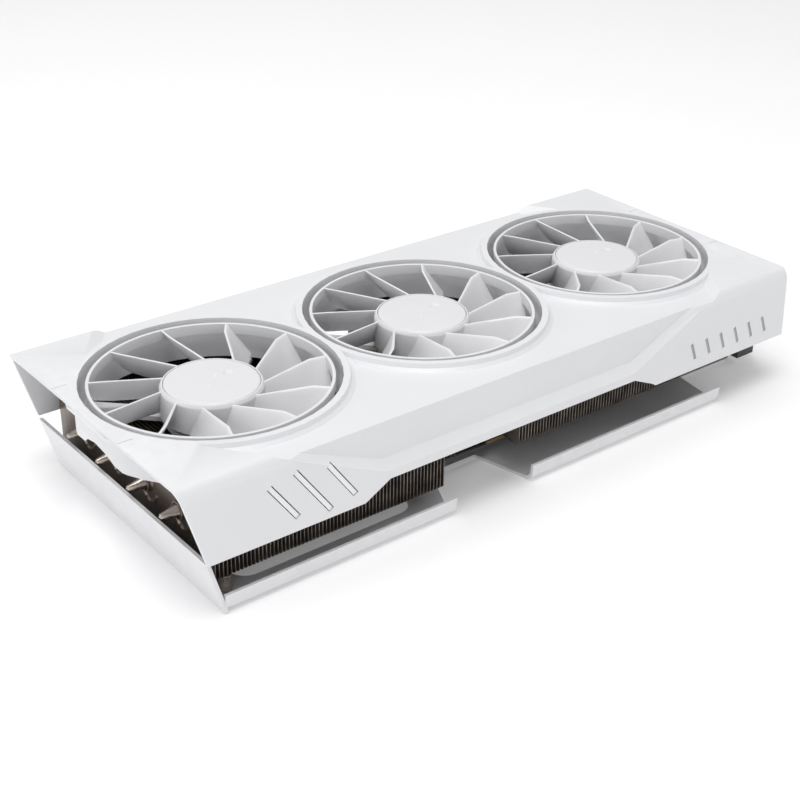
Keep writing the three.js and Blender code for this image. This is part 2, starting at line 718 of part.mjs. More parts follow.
function circuitBoard() {
  const keyX = bracketX - slotKeyX;
  const tongueRight = keyX + 13.1;
  const tongueLeft = keyX - 72.6;
  const edge = outline([
    [boardLeft, boardFront], [boardRight, boardFront], [boardRight, boardBodyBack],
    [tongueRight, boardBodyBack], [tongueRight, boardBack - 0.6], [tongueRight - 0.6, boardBack],
    [keyX + 0.95, boardBack], [keyX + 0.95, boardBodyBack + 0.5],
    [keyX - 0.95, boardBodyBack + 0.5], [keyX - 0.95, boardBack],
    [tongueLeft + 0.6, boardBack], [tongueLeft, boardBack - 0.6], [tongueLeft, boardBodyBack - 3],
    [tongueLeft - 3, boardBodyBack - 3], [tongueLeft - 3, boardBodyBack + 3],
    [tongueLeft - 7, boardBodyBack + 3], [tongueLeft - 9, boardBodyBack], [boardLeft, boardBodyBack],
  ]);
  const holes = [
    ...springScrews.map(([x, y]) => rod(springShank + seat, boardBottom - 1, boardTop + 1, 10, x, y)),
    ...posts.slice(2).map(([x, y]) => rod(screwShank + seat, boardBottom - 1, boardTop + 1, 10, x, y)),
    ...lugs.map(([y0, y1]) => rod(
      screwShank + seat, boardBottom - 1, boardTop + 1, 10, lugScrewX, (y0 + y1) / 2)),
  ];
  return cut(plate(edge, boardBottom, boardTop), holes);
}

function gpuPackage() {
  const side = packageSide / 2;
  const die = dieSide / 2;
  const top = packageBottom + packageHeight;
  const carrier = box(gpuX - side, gpuX + side, gpuY - side, gpuY + side, packageBottom, top);
  return carrier.add(box(gpuX - die, gpuX + die, gpuY - die, gpuY + die, top - 0.1, top + dieHeight));
}

function memoryChip(i) {
  const x = gpuX - packageSide / 2 - memoryGap - memoryWidth;
  const y = gpuY + (i - (memoryCount - 1) / 2) * (memoryLength + 2) - memoryLength / 2;
  return box(x, x + memoryWidth, y, y + memoryLength, boardTop + seat, boardTop + seat + memoryHeight);
}

// A right-angle socket whose mouth faces -Y, over the edge of the board.
function powerSocket(i) {
  const x0 = socketX0 + i * socketPitch;
  const x1 = x0 + socketWidth;
  const y0 = boardFront - socketProud;
  const z0 = boardTop + seat;
  const body = box(x0, x1, y0, y0 + socketLength, z0, z0 + socketHeight);
  const latch = box(x0 + 6, x1 - 6, y0 + 1, y0 + 7, z0 + socketHeight - 0.1, socketTop);
  const mouth = box(
    x0 + socketWall, x1 - socketWall, y0 - 1, y0 + socketDepth,
    z0 + socketWall, z0 + socketHeight - socketWall);
  return body.add(latch).subtract(mouth);
}

// A display socket behind the bracket, open on its +X face.
function displaySocket(i) {
  const y = portYs[i];
  const half = portWidth / 2;
  const z0 = boardTop + seat;
  const x1 = bracketX + bracketSheet + portProud;
  const shell = box(x1 - portLength, x1, y - half, y + half, z0, z0 + portHeight);
  const cavity = box(
    x1 - portDepth, x1 + 1, y - half + portSkin, y + half - portSkin,
    z0 + portSkin, z0 + portHeight - portSkin);
  const corner = new THREE.Matrix4().makeTranslation(x1 - portLength / 2, y + half, z0);
  corner.multiply(new THREE.Matrix4().makeRotationX(Math.PI / 4));
  return shell.subtract(cavity).subtract(solid(new THREE.BoxGeometry(portLength + 2, 1.2, 1.2), corner));
}

// The firmware selector: a small slide switch at the board's front edge.
function switchHousing() {
  const z0 = boardTop + seat;
  const y0 = boardFront + 0.2;
  const body = box(switchX, switchX + switchLength, y0, y0 + switchBreadth, z0, z0 + switchHeight);
  const middle = switchX + switchLength / 2;
  const way = (knobWidth + switchTravel) / 2 + seat;
  return body.subtract(box(
    middle - way, middle + way, y0 - 1, y0 + switchBreadth - 1, z0 + 0.9, z0 + switchHeight - 0.9));
}

// The slider rests at the low end of its travel.
function switchSlider() {
  const z0 = boardTop + seat + 0.9 + seat;
  const z1 = boardTop + seat + switchHeight - 0.9 - seat;
  const x0 = switchX + switchLength / 2 - (knobWidth + switchTravel) / 2;
  const y0 = boardFront + 0.2;
  return box(x0, x0 + knobWidth, y0 - 1.6, y0 + switchBreadth - 1 - seat, z0, z1);
}

function addBoard() {
  place(card, 'circuit_board', circuitBoard(), boardLaminate);
  place(card, 'gpu_package', gpuPackage(), chip);
  for (let i = 0; i < memoryCount; i++) place(card, `memory_chip_${i + 1}`, memoryChip(i), chip);
  for (let i = 0; i < powerSockets; i++) place(card, `power_socket_${i + 1}`, powerSocket(i), blackPlastic);
  for (let i = 0; i < portCount; i++) place(card, `display_socket_${i + 1}`, displaySocket(i), steel);
  place(card, 'switch_housing', switchHousing(), steel);
  place(card, 'switch_slider', switchSlider(), blackPlastic);
}

// ---------------------------------------------------------------- backplate and brackets

// The bent front lip, as a section in Y and Z.
function lipSection() {
  const y = plateFront;
  return outline([
    [y + 6, 0], [y + 2, 0.5], [y - 0.3, 2], [y - 1.3, 4], [y - 1.6, lipHeight],
    [y - 0.2, lipHeight], [y + 0.1, 4.4], [y + 0.9, 2.9], [y + 2.6, 1.9], [y + 6, backplateSheet],
  ]);
}

function backplate() {
  const plateLeft = endX(0);
  const notchBack = boardFront + 1.6;
  const shape = outline([
    [plateLeft, plateFront + lipRoot], [notchLeft, plateFront + lipRoot], [notchLeft + 11, notchBack],
    [notchRight - 5.5, notchBack], [notchRight, plateFront + lipRoot], [plateCornerX, plateFront + lipRoot],
    [plateCornerX + 4, notchBack - 3], [plateRight, notchBack - 3],
    [plateRight, plateBack], [plateLeft, plateBack],
  ]);
  const sheet = plate(shape, 0, backplateSheet);
  const lips = [[endX(0), notchLeft], [notchRight, plateCornerX]].map(
    ([x0, x1]) => beamX(lipSection(), x0, x1));
  const flangeTop = rimPlane - frontWallDepth - seat;
  const flange = beamY(outline([
    [endX(0), 0], [endX(0) + backplateSheet * 1.04, 0],
    [endX(flangeTop) + backplateSheet * 1.04, flangeTop], [endX(flangeTop), flangeTop],
  ]), plateFront - 1, plateBack + 1.5);
  const windowShape = roundedRectangle(plateLeft + 14, boardLeft - 8, plateFront + 12, plateBack - 8, 8);
  const span = retentionSpan / 2;
  const retention = roundedRectangle(gpuX - span, gpuX + span, gpuY - span, gpuY + span, 6);
  const bosses = posts.slice(2).map(([x, y]) => rod(bossRadius, 0, boardBottom - seat, 16, x, y));
  const holes = posts.flatMap(([x, y]) => [
    rod(screwShank + seat, -1, boardBottom, 10, x, y),
    rod(screwHead + seat, -1, 1 - 0.1, 12, x, y),
  ]);
  return cut(merge([sheet, ...lips, flange, ...bosses]), [
    plate(windowShape, -1, backplateSheet + 1, 5), plate(retention, -1, backplateSheet + 1, 5), ...holes,
  ]);
}

// Cross-shaped spring plate behind the board.
function retentionBracket() {
  const z0 = boardBottom - retentionDrop;
  const z1 = z0 + retentionSheet;
  const reach = springSpan / Math.SQRT2 + 4.5;
  const arms = [1, -1].map((side) => {
    const turn = new THREE.Matrix4().makeRotationZ(side * Math.PI / 4).setPosition(gpuX, gpuY, (z0 + z1) / 2);
    return solid(new THREE.BoxGeometry(2 * reach, 10, z1 - z0), turn);
  });
  const middle = box(gpuX - 13, gpuX + 13, gpuY - 13, gpuY + 13, z0, z1);
  const centreHole = box(gpuX - 7, gpuX + 7, gpuY - 7, gpuY + 7, z0 - 1, z1 + 1);
  return cut(merge([...arms, middle]), [
    centreHole, ...springScrews.map(([x, y]) => rod(springShank + seat, z0 - 1, z1 + 1, 10, x, y)),
  ]);
}

// A screw with its head below, pointing up.
function screw(x, y, headBottom, headTop, tip, head, shank) {
  return rod(head, headBottom, headTop, 12, x, y).add(rod(shank, headTop - 0.1, tip, 10, x, y));
}

function ioBracket() {
  const x0 = bracketX;
  const x1 = bracketX + bracketSheet;
  const high = bracketLow + bracketWidth;
  const end = tabY + bracketHeight;
  const tongue = 10.2;
  const middles = [bracketLow + 9.2, high - 9.2];
  const face = outline([
    [tabY, bracketLow], [end - 9, bracketLow], [end - 6, middles[0] - tongue / 2],
    [end, middles[0] - tongue / 2], [end, middles[0] + tongue / 2], [end - 6, middles[0] + tongue / 2],
    [end - 6, middles[1] - tongue / 2], [end, middles[1] - tongue / 2], [end, middles[1] + tongue / 2],
    [end - 6, middles[1] + tongue / 2], [end - 9, high], [tabY, high],
  ]);
  const tab = box(x0, x1 + tabLength, tabY, tabY + bracketSheet, bracketLow, high);
  const slots = middles.map((z) => box(x1 + 4.2, x1 + tabLength + 1, tabY - 1, tabY + 2, z - 2.2, z + 2.2));
  const footBottom = boardTop + seat;
  const feet = lugs.map(([y0, y1]) => box(lugScrewX - 4, x1, y0, y1, footBottom, footBottom + footSheet));
  const lugHoles = lugs.map(([y0, y1]) => rod(
    screwShank + seat, boardTop - 1, boardTop + 3, 10, lugScrewX, (y0 + y1) / 2));
  const windows = portYs.map((y) => box(
    x0 - 1, x1 + 1, y - portWidth / 2 - seat, y + portWidth / 2 + seat,
    boardTop, boardTop + seat + portHeight + seat));
  const vents = [];
  for (let i = 0; i < ventCount; i++) {
    const y = tabY + 12 + i * ventPitch;
    vents.push(box(x0 - 1, x1 + 1, y, y + ventWidth, boardTop + portHeight + 5, high - 4));
  }
  return cut(merge([beamX(face, x0, x1), tab, ...feet]), [...slots, ...lugHoles, ...windows, ...vents]);
}

function addBackAndBrackets() {
  place(card, 'backplate', backplate(), whiteMetal);
  place(card, 'retention_bracket', retentionBracket(), steel);
  const headTop = boardBottom - retentionDrop - seat;
  for (const [i, [x, y]] of springScrews.entries()) {
    place(card, `spring_screw_${i + 1}`, screw(
      x, y, headTop - springHeadHeight, headTop, coldPlateTop - springBite - seat, springHead, springShank),
    steel);
  }
  place(card, 'io_bracket', ioBracket(), darkSteel);
  for (const [i, [y0, y1]] of lugs.entries()) {
    const y = (y0 + y1) / 2;
    const top = boardTop + seat + footSheet + seat;
    const head = rod(2.2, top, top + 1.4, 12, lugScrewX, y);
    place(card, `bracket_screw_${i + 1}`,
      head.add(rod(screwShank, boardBottom + 0.2, top + 0.1, 10, lugScrewX, y)), steel);
  }
  for (const [i, [x, y, top]] of posts.entries()) {
    const bottom = (i < 2 ? backplateSheet : boardTop) + seat;
    const post = rod(postRadius, bottom, top - seat, 16, x, y);
    const thread = rod(screwShank + seat, bottom - 1, top - 2, 10, x, y);
    place(card, `post_${i + 1}`, post.subtract(thread), finMetal);
    place(card, `backplate_screw_${i + 1}`,
      screw(x, y, 0.1, 0.9 - seat, top - 2 - seat, screwHead, screwShank), darkSteel);
  }
}

// ---------------------------------------------------------------- assembly

place(card, 'shroud', shroud(), whitePlastic);
addFans();
addHeatsink();
addBoard();
addBackAndBrackets();

// The exported group stands on its backplate with its origin under the middle of its box.
const object = new THREE.Group();
card.position.set(
  -(leftEnd + bracketX + bracketSheet + tabLength) / 2,
  -(frontLowY + Math.max(boardBack, tabY + bracketHeight)) / 2, 0);
object.add(card);

export default object;
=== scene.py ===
import bmesh
import bpy
import numpy as np
from mathutils import Matrix, Vector


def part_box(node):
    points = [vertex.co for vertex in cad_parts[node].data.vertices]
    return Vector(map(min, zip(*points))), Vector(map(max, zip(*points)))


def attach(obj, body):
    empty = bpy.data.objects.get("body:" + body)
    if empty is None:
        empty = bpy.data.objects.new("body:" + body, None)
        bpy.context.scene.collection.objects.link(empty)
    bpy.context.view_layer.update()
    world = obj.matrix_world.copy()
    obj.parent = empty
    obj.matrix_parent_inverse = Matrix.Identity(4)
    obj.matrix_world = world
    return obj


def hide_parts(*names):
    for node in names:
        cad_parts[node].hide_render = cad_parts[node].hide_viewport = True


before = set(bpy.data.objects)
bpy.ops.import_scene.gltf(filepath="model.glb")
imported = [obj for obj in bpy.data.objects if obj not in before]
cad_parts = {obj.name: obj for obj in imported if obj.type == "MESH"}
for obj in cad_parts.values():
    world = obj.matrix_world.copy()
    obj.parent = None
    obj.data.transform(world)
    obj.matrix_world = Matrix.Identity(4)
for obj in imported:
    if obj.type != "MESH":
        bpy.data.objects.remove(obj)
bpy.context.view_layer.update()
print("frame loaded:", len(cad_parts), "nodes")

mm = 0.001
fullTurn = 2 * np.pi


# Where a node stands, in millimetres

def boxOf(node):
    low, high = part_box(node)
    return np.array(low) / mm, np.array(high) / mm


def middleOf(node):
    low, high = boxOf(node)
    return (low + high) / 2


# Shader groups

def newGroup(name, inputs, outputs):
    group = bpy.data.node_groups.new(name, "ShaderNodeTree")
    for label, kind, value in inputs:
        socket = group.interface.new_socket(label, in_out="INPUT", socket_type=kind)
        if value is not None:
            socket.default_value = value
    for label, kind in outputs:
        group.interface.new_socket(label, in_out="OUTPUT", socket_type=kind)
    return group


def addNode(tree, kind, inputs=None, **settings):
    node = tree.nodes.new(kind)
    for key, value in settings.items():
        setattr(node, key, value)
    for key, value in (inputs or {}).items():
        if isinstance(value, bpy.types.NodeSocket):
            tree.links.new(value, node.inputs[key])
        else:
            node.inputs[key].default_value = value
    return node


def mathNode(tree, operation, first, second=0.0, clamp=False):
    node = addNode(tree, "ShaderNodeMath", {0: first, 1: second}, operation=operation, use_clamp=clamp)
    return node.outputs[0]


def rangeNode(tree, value, fromLow, fromHigh, toLow=0.0, toHigh=1.0):
    node = addNode(tree, "ShaderNodeMapRange", {
        "Value": value, "From Min": fromLow, "From Max": fromHigh, "To Min": toLow, "To Max": toHigh})
    return node.outputs["Result"]


def noiseNode(tree, vector, scale, detail=2.0, roughness=0.5):
    node = addNode(tree, "ShaderNodeTexNoise", {
        "Vector": vector, "Scale": scale, "Detail": detail, "Roughness": roughness})
    return node.outputs["Fac"]


def mixColours(tree, share, first, second):
    node = addNode(tree, "ShaderNodeMix", data_type="RGBA")
    for index, value in ((0, share), (6, first), (7, second)):
        if isinstance(value, bpy.types.NodeSocket):
            tree.links.new(value, node.inputs[index])
        else:
            node.inputs[index].default_value = value
    return node.outputs[2]


# Fine moulded grain with a slow drift of tone and a few long scuffs
def makeGrainGroup():
    group = newGroup(
        "surfaceGrain",
        [("Vector", "NodeSocketVector", None), ("Grain Scale", "NodeSocketFloat", 2600.0),
         ("Drift Scale", "NodeSocketFloat", 22.0)],
        [("Height", "NodeSocketFloat"), ("Drift", "NodeSocketFloat"), ("Scuff", "NodeSocketFloat")])
    source = addNode(group, "NodeGroupInput").outputs
    sink = addNode(group, "NodeGroupOutput")
    grain = noiseNode(group, source["Vector"], source["Grain Scale"], 3.0, 0.6)
    drift = noiseNode(group, source["Vector"], source["Drift Scale"], 3.0, 0.55)
    stretch = addNode(group, "ShaderNodeMapping", {
        "Vector": source["Vector"], "Rotation": (0.3, 0.1, 0.7), "Scale": (30.0, 900.0, 300.0)})
    scratch = noiseNode(group, stretch.outputs[0], 1.0, 2.0, 0.5)
    scuff = rangeNode(group, scratch, 0.68, 0.8)
    group.links.new(grain, sink.inputs["Height"])
    group.links.new(rangeNode(group, drift, 0.3, 0.7), sink.inputs["Drift"])
    group.links.new(scuff, sink.inputs["Scuff"])
    return group


# Convex edges, broken up by noise so that the mark comes and goes: partly wear, partly a painted highlight
# along the edges
def makeEdgeGroup():
    group = newGroup(
        "edgeWearAndHighlight",
        [("Vector", "NodeSocketVector", None), ("Start", "NodeSocketFloat", 0.52),
         ("Full", "NodeSocketFloat", 0.62), ("Break Up", "NodeSocketFloat", 160.0)],
        [("Edge", "NodeSocketFloat")])
    source = addNode(group, "NodeGroupInput").outputs
    sink = addNode(group, "NodeGroupOutput")
    ridge = addNode(group, "ShaderNodeNewGeometry").outputs["Pointiness"]
    edge = rangeNode(group, ridge, source["Start"], source["Full"])
    broken = rangeNode(group, noiseNode(group, source["Vector"], source["Break Up"], 4.0, 0.6), 0.35, 0.62)
    group.links.new(mathNode(group, "MULTIPLY", edge, broken, True), sink.inputs["Edge"])
    return group


# Thin dust on what faces up, thickest in patches
def makeDustGroup():
    group = newGroup(
        "settledDust",
        [("Vector", "NodeSocketVector", None), ("Amount", "NodeSocketFloat", 0.1)],
        [("Dust", "NodeSocketFloat")])
    source = addNode(group, "NodeGroupInput").outputs
    sink = addNode(group, "NodeGroupOutput")
    normal = addNode(group, "ShaderNodeNewGeometry").outputs["Normal"]
    up = addNode(group, "ShaderNodeSeparateXYZ", {"Vector": normal}).outputs["Z"]
    facing = rangeNode(group, up, 0.55, 1.0)
    patch = rangeNode(group, noiseNode(group, source["Vector"], 55.0, 5.0, 0.65), 0.42, 0.75)
    dust = mathNode(group, "MULTIPLY", mathNode(group, "MULTIPLY", facing, patch), source["Amount"], True)
    group.links.new(dust, sink.inputs["Dust"])
    return group


# Drawn or rolled metal: noise stretched along one direction
def makeStreakGroup():
    group = newGroup(
        "rolledStreaks",
        [("Vector", "NodeSocketVector", None), ("Across", "NodeSocketVector", (40.0, 40.0, 1500.0))],
        [("Height", "NodeSocketFloat"), ("Tone", "NodeSocketFloat")])
    source = addNode(group, "NodeGroupInput").outputs
    sink = addNode(group, "NodeGroupOutput")
    stretch = addNode(group, "ShaderNodeVectorMath", {
        0: source["Vector"], 1: source["Across"]}, operation="MULTIPLY")
    fine = noiseNode(group, stretch.outputs[0], 1.0, 3.0, 0.6)
    blotch = noiseNode(group, source["Vector"], 90.0, 3.0, 0.5)
    fineShare = mathNode(group, "MULTIPLY", fine, 0.6)
    tone = mathNode(group, "ADD", fineShare, mathNode(group, "MULTIPLY", blotch, 0.4))
    group.links.new(fine, sink.inputs["Height"])
    group.links.new(rangeNode(group, tone, 0.3, 0.7), sink.inputs["Tone"])
    return group


grainGroup = makeGrainGroup()
edgeGroup = makeEdgeGroup()
dustGroup = makeDustGroup()
streakGroup = makeStreakGroup()


# Materials

def newMaterial(name):
    material = bpy.data.materials.new(name)
    material.use_nodes = True
    tree = material.node_tree
    shader = tree.nodes["Principled BSDF"]
    place = addNode(tree, "ShaderNodeTexCoord").outputs["Object"]
    return material, tree, shader, place


# Plastic or paint: two tones that drift, paler edges that are partly wear and partly a painted highlight, a
# little dust, fine grain
def makeMoulded(name, look):
    material, tree, shader, place = newMaterial(name)
    grain = addNode(tree, "ShaderNodeGroup", node_tree=grainGroup)
    grain.inputs["Grain Scale"].default_value = look["grain"]
    grain.inputs["Drift Scale"].default_value = look["drift"]
    edge = addNode(tree, "ShaderNodeGroup", node_tree=edgeGroup)
    dust = addNode(tree, "ShaderNodeGroup", node_tree=dustGroup)
    dust.inputs["Amount"].default_value = look["dust"]
    for group in (grain, edge, dust):
        tree.links.new(place, group.inputs["Vector"])
    body = mixColours(tree, grain.outputs["Drift"], look["colour"], look["shade"])
    # The edge colour laid on convex edges: partly wear, partly a painted highlight
    wearAndHighlightShare = mathNode(tree, "MULTIPLY", edge.outputs["Edge"], look["wearAndHighlight"])
    body = mixColours(tree, wearAndHighlightShare, body, look["edge"])
    body = mixColours(tree, dust.outputs["Dust"], body, (0.62, 0.6, 0.57, 1))
    tree.links.new(body, shader.inputs["Base Color"])
    low, high = look["gloss"]
    sheen = rangeNode(tree, grain.outputs["Drift"], 0.0, 1.0, low, high)
    rough = mathNode(tree, "ADD", sheen, mathNode(tree, "MULTIPLY", dust.outputs["Dust"], 0.5), True)
    rough = mathNode(tree, "ADD", rough, mathNode(tree, "MULTIPLY", grain.outputs["Scuff"], 0.06), True)
    tree.links.new(rough, shader.inputs["Roughness"])
    shader.inputs["Metallic"].default_value = look.get("metallic", 0.0)
    shader.inputs["Specular IOR Level"].default_value = look.get("specular", 0.5)
    bump = addNode(tree, "ShaderNodeBump", {
        "Strength": look["relief"], "Distance": 0.0001, "Height": grain.outputs["Height"]})
    tree.links.new(bump.outputs[0], shader.inputs["Normal"])
    return material


# Bare or plated metal: streaks in tone, roughness and relief, brighter edges that are partly wear and partly
# a painted highlight
def makeRolled(name, look):
    material, tree, shader, place = newMaterial(name)
    streak = addNode(tree, "ShaderNodeGroup", node_tree=streakGroup)
    streak.inputs["Across"].default_value = look["across"]
    edge = addNode(tree, "ShaderNodeGroup", node_tree=edgeGroup)
    dust = addNode(tree, "ShaderNodeGroup", node_tree=dustGroup)
    dust.inputs["Amount"].default_value = look["dust"]
    for group in (streak, edge, dust):
        tree.links.new(place, group.inputs["Vector"])
    body = mixColours(tree, streak.outputs["Tone"], look["colour"], look["shade"])
    # The edge colour laid on convex edges: partly wear, partly a painted highlight
    wearAndHighlightShare = mathNode(tree, "MULTIPLY", edge.outputs["Edge"], look["wearAndHighlight"])
    body = mixColours(tree, wearAndHighlightShare, body, look["edge"])
    body = mixColours(tree, dust.outputs["Dust"], body, (0.5, 0.48, 0.45, 1))
    tree.links.new(body, shader.inputs["Base Color"])
    low, high = look["gloss"]
    rough = rangeNode(tree, streak.outputs["Tone"], 0.0, 1.0, low, high)
    rough = mathNode(tree, "ADD", rough, mathNode(tree, "MULTIPLY", dust.outputs["Dust"], 0.4), True)
    tree.links.new(rough, shader.inputs["Roughness"])
    shader.inputs["Metallic"].default_value = look["metallic"]
    bump = addNode(tree, "ShaderNodeBump", {
        "Strength": look["relief"], "Distance": 0.0001, "Height": streak.outputs["Height"]})
    tree.links.new(bump.outputs[0], shader.inputs["Normal"])
    return material


# In each look the edge colour, laid on by the wear share, is partly wear and partly a painted highlight
mouldedLooks = {
    "shroudWhite": {
        "colour": (0.80, 0.805, 0.82, 1), "shade": (0.775, 0.78, 0.80, 1), "edge": (0.9, 0.9, 0.91, 1),
        "gloss": (0.36, 0.42), "grain": 3800.0, "drift": 14.0, "dust": 0.05, "wearAndHighlight": 0.5, "relief": 0.22},
    "fanWhite": {
        "colour": (0.80, 0.80, 0.815, 1), "shade": (0.765, 0.765, 0.785, 1), "edge": (0.93, 0.93, 0.94, 1),
        "gloss": (0.32, 0.4), "grain": 4200.0, "drift": 40.0, "dust": 0.05, "wearAndHighlight": 0.8, "relief": 0.16},
    "capWhite": {
        "colour": (0.78, 0.78, 0.80, 1), "shade": (0.755, 0.755, 0.775, 1), "edge": (0.9, 0.9, 0.91, 1),
        "gloss": (0.3, 0.36), "grain": 5200.0, "drift": 60.0, "dust": 0.04, "wearAndHighlight": 0.5, "relief": 0.1},
    "frameGrey": {
        "colour": (0.66, 0.66, 0.675, 1), "shade": (0.61, 0.61, 0.625, 1), "edge": (0.76, 0.76, 0.77, 1),
        "gloss": (0.48, 0.58), "grain": 3000.0, "drift": 40.0, "dust": 0.12, "wearAndHighlight": 0.5, "relief": 0.3},
    "barGrey": {
        "colour": (0.40, 0.40, 0.42, 1), "shade": (0.36, 0.36, 0.38, 1), "edge": (0.5, 0.5, 0.52, 1),
        "gloss": (0.4, 0.5), "grain": 4000.0, "drift": 60.0, "dust": 0.02, "wearAndHighlight": 0.3, "relief": 0.2},
    "insertWhite": {
        "colour": (0.93, 0.93, 0.94, 1), "shade": (0.9, 0.9, 0.91, 1), "edge": (0.97, 0.97, 0.97, 1),
        "gloss": (0.2, 0.28), "grain": 2500.0, "drift": 60.0, "dust": 0.02, "wearAndHighlight": 0.4, "relief": 0.1},
    "backplateWhite": {
        "colour": (0.79, 0.79, 0.81, 1), "shade": (0.765, 0.765, 0.785, 1), "edge": (0.9, 0.9, 0.91, 1),
        "gloss": (0.38, 0.46), "grain": 2200.0, "drift": 18.0, "dust": 0.05, "wearAndHighlight": 0.5, "relief": 0.3,
        "specular": 0.55},
    "bracketBlack": {
        "colour": (0.028, 0.028, 0.031, 1), "shade": (0.02, 0.02, 0.023, 1), "edge": (0.12, 0.12, 0.125, 1),
        "gloss": (0.4, 0.52), "grain": 1900.0, "drift": 50.0, "dust": 0.06, "wearAndHighlight": 0.6, "relief": 0.45},
    "socketBlack": {
        "colour": (0.016, 0.016, 0.018, 1), "shade": (0.011, 0.011, 0.012, 1), "edge": (0.06, 0.06, 0.065, 1),
        "gloss": (0.42, 0.55), "grain": 3000.0, "drift": 120.0, "dust": 0.05, "wearAndHighlight": 0.5, "relief": 0.3},
    "chipEpoxy": {
        "colour": (0.02, 0.02, 0.022, 1), "shade": (0.03, 0.03, 0.033, 1), "edge": (0.07, 0.07, 0.075, 1),
        "gloss": (0.5, 0.65), "grain": 3600.0, "drift": 160.0, "dust": 0.08, "wearAndHighlight": 0.3, "relief": 0.5},
    "chokeGrey": {
        "colour": (0.055, 0.055, 0.06, 1), "shade": (0.035, 0.035, 0.04, 1), "edge": (0.14, 0.14, 0.145, 1),
        "gloss": (0.55, 0.7), "grain": 2600.0, "drift": 200.0, "dust": 0.1, "wearAndHighlight": 0.5, "relief": 0.7},
    "magnetFerrite": {
        "colour": (0.05, 0.05, 0.055, 1), "shade": (0.035, 0.035, 0.038, 1), "edge": (0.12, 0.12, 0.12, 1),
        "gloss": (0.5, 0.62), "grain": 2200.0, "drift": 150.0, "dust": 0.05, "wearAndHighlight": 0.4, "relief": 0.6},
}

# In each look the edge colour, laid on by the wear share, is partly wear and partly a painted highlight
rolledLooks = {
    # The fins: the end sheet's metal given a darker colour, painted shade in the narrow gaps between the
    # close-set fins
    "finTaupeShaded": {
        "colour": (0.15, 0.126, 0.109, 1), "shade": (0.1, 0.083, 0.07, 1), "edge": (0.38, 0.335, 0.29, 1),
        "gloss": (0.3, 0.44), "across": (60.0, 60.0, 1400.0), "dust": 0.08, "wearAndHighlight": 0.5, "relief": 0.3,
        "metallic": 0.75},
    "endFinTaupe": {
        "colour": (0.24, 0.2, 0.172, 1), "shade": (0.18, 0.148, 0.126, 1), "edge": (0.5, 0.45, 0.4, 1),
        "gloss": (0.26, 0.36), "across": (50.0, 900.0, 70.0), "dust": 0.05, "wearAndHighlight": 0.5, "relief": 0.2,
        "metallic": 0.8},
    "pipeNickel": {
        "colour": (0.50, 0.44, 0.385, 1), "shade": (0.40, 0.345, 0.3, 1), "edge": (0.75, 0.7, 0.65, 1),
        "gloss": (0.16, 0.28), "across": (40.0, 1200.0, 1200.0), "dust": 0.05, "wearAndHighlight": 0.5, "relief": 0.16,
        "metallic": 1.0},
    "copperPlate": {
        "colour": (0.56, 0.29, 0.17, 1), "shade": (0.44, 0.21, 0.12, 1), "edge": (0.8, 0.5, 0.35, 1),
        "gloss": (0.22, 0.36), "across": (900.0, 40.0, 900.0), "dust": 0.05, "wearAndHighlight": 0.4, "relief": 0.2,
        "metallic": 1.0},
    "copperWinding": {
        "colour": (0.42, 0.17, 0.08, 1), "shade": (0.3, 0.1, 0.045, 1), "edge": (0.65, 0.35, 0.2, 1),
        "gloss": (0.3, 0.42), "across": (200.0, 200.0, 4500.0), "dust": 0.06, "wearAndHighlight": 0.4, "relief": 0.8,
        "metallic": 0.9},
    "screwSteel": {
        "colour": (0.5, 0.5, 0.515, 1), "shade": (0.4, 0.4, 0.415, 1), "edge": (0.75, 0.75, 0.76, 1),
        "gloss": (0.22, 0.36), "across": (1200.0, 1200.0, 60.0), "dust": 0.04, "wearAndHighlight": 0.6, "relief": 0.2,
        "metallic": 1.0},
    "portSteel": {
        "colour": (0.45, 0.45, 0.46, 1), "shade": (0.36, 0.36, 0.37, 1), "edge": (0.7, 0.7, 0.71, 1),
        "gloss": (0.26, 0.38), "across": (60.0, 1100.0, 1100.0), "dust": 0.05, "wearAndHighlight": 0.6, "relief": 0.2,
        "metallic": 1.0},
    "screwBlack": {
        "colour": (0.06, 0.06, 0.065, 1), "shade": (0.04, 0.04, 0.043, 1), "edge": (0.3, 0.3, 0.31, 1),
        "gloss": (0.3, 0.42), "across": (1200.0, 1200.0, 60.0), "dust": 0.04, "wearAndHighlight": 0.7, "relief": 0.2,
        "metallic": 0.9},
    "springSteel": {
        "colour": (0.42, 0.42, 0.43, 1), "shade": (0.33, 0.33, 0.34, 1), "edge": (0.7, 0.7, 0.7, 1),
        "gloss": (0.26, 0.4), "across": (900.0, 900.0, 60.0), "dust": 0.04, "wearAndHighlight": 0.6, "relief": 0.25,
        "metallic": 1.0},
    "contactGold": {
        "colour": (0.83, 0.56, 0.2, 1), "shade": (0.7, 0.45, 0.15, 1), "edge": (0.95, 0.75, 0.4, 1),
        "gloss": (0.18, 0.3), "across": (1500.0, 90.0, 90.0), "dust": 0.03, "wearAndHighlight": 0.3, "relief": 0.15,
        "metallic": 1.0},
    "canAluminium": {
        "colour": (0.62, 0.62, 0.63, 1), "shade": (0.52, 0.52, 0.53, 1), "edge": (0.8, 0.8, 0.8, 1),
        "gloss": (0.28, 0.4), "across": (900.0, 900.0, 60.0), "dust": 0.05, "wearAndHighlight": 0.5, "relief": 0.2,
        "metallic": 1.0},
}


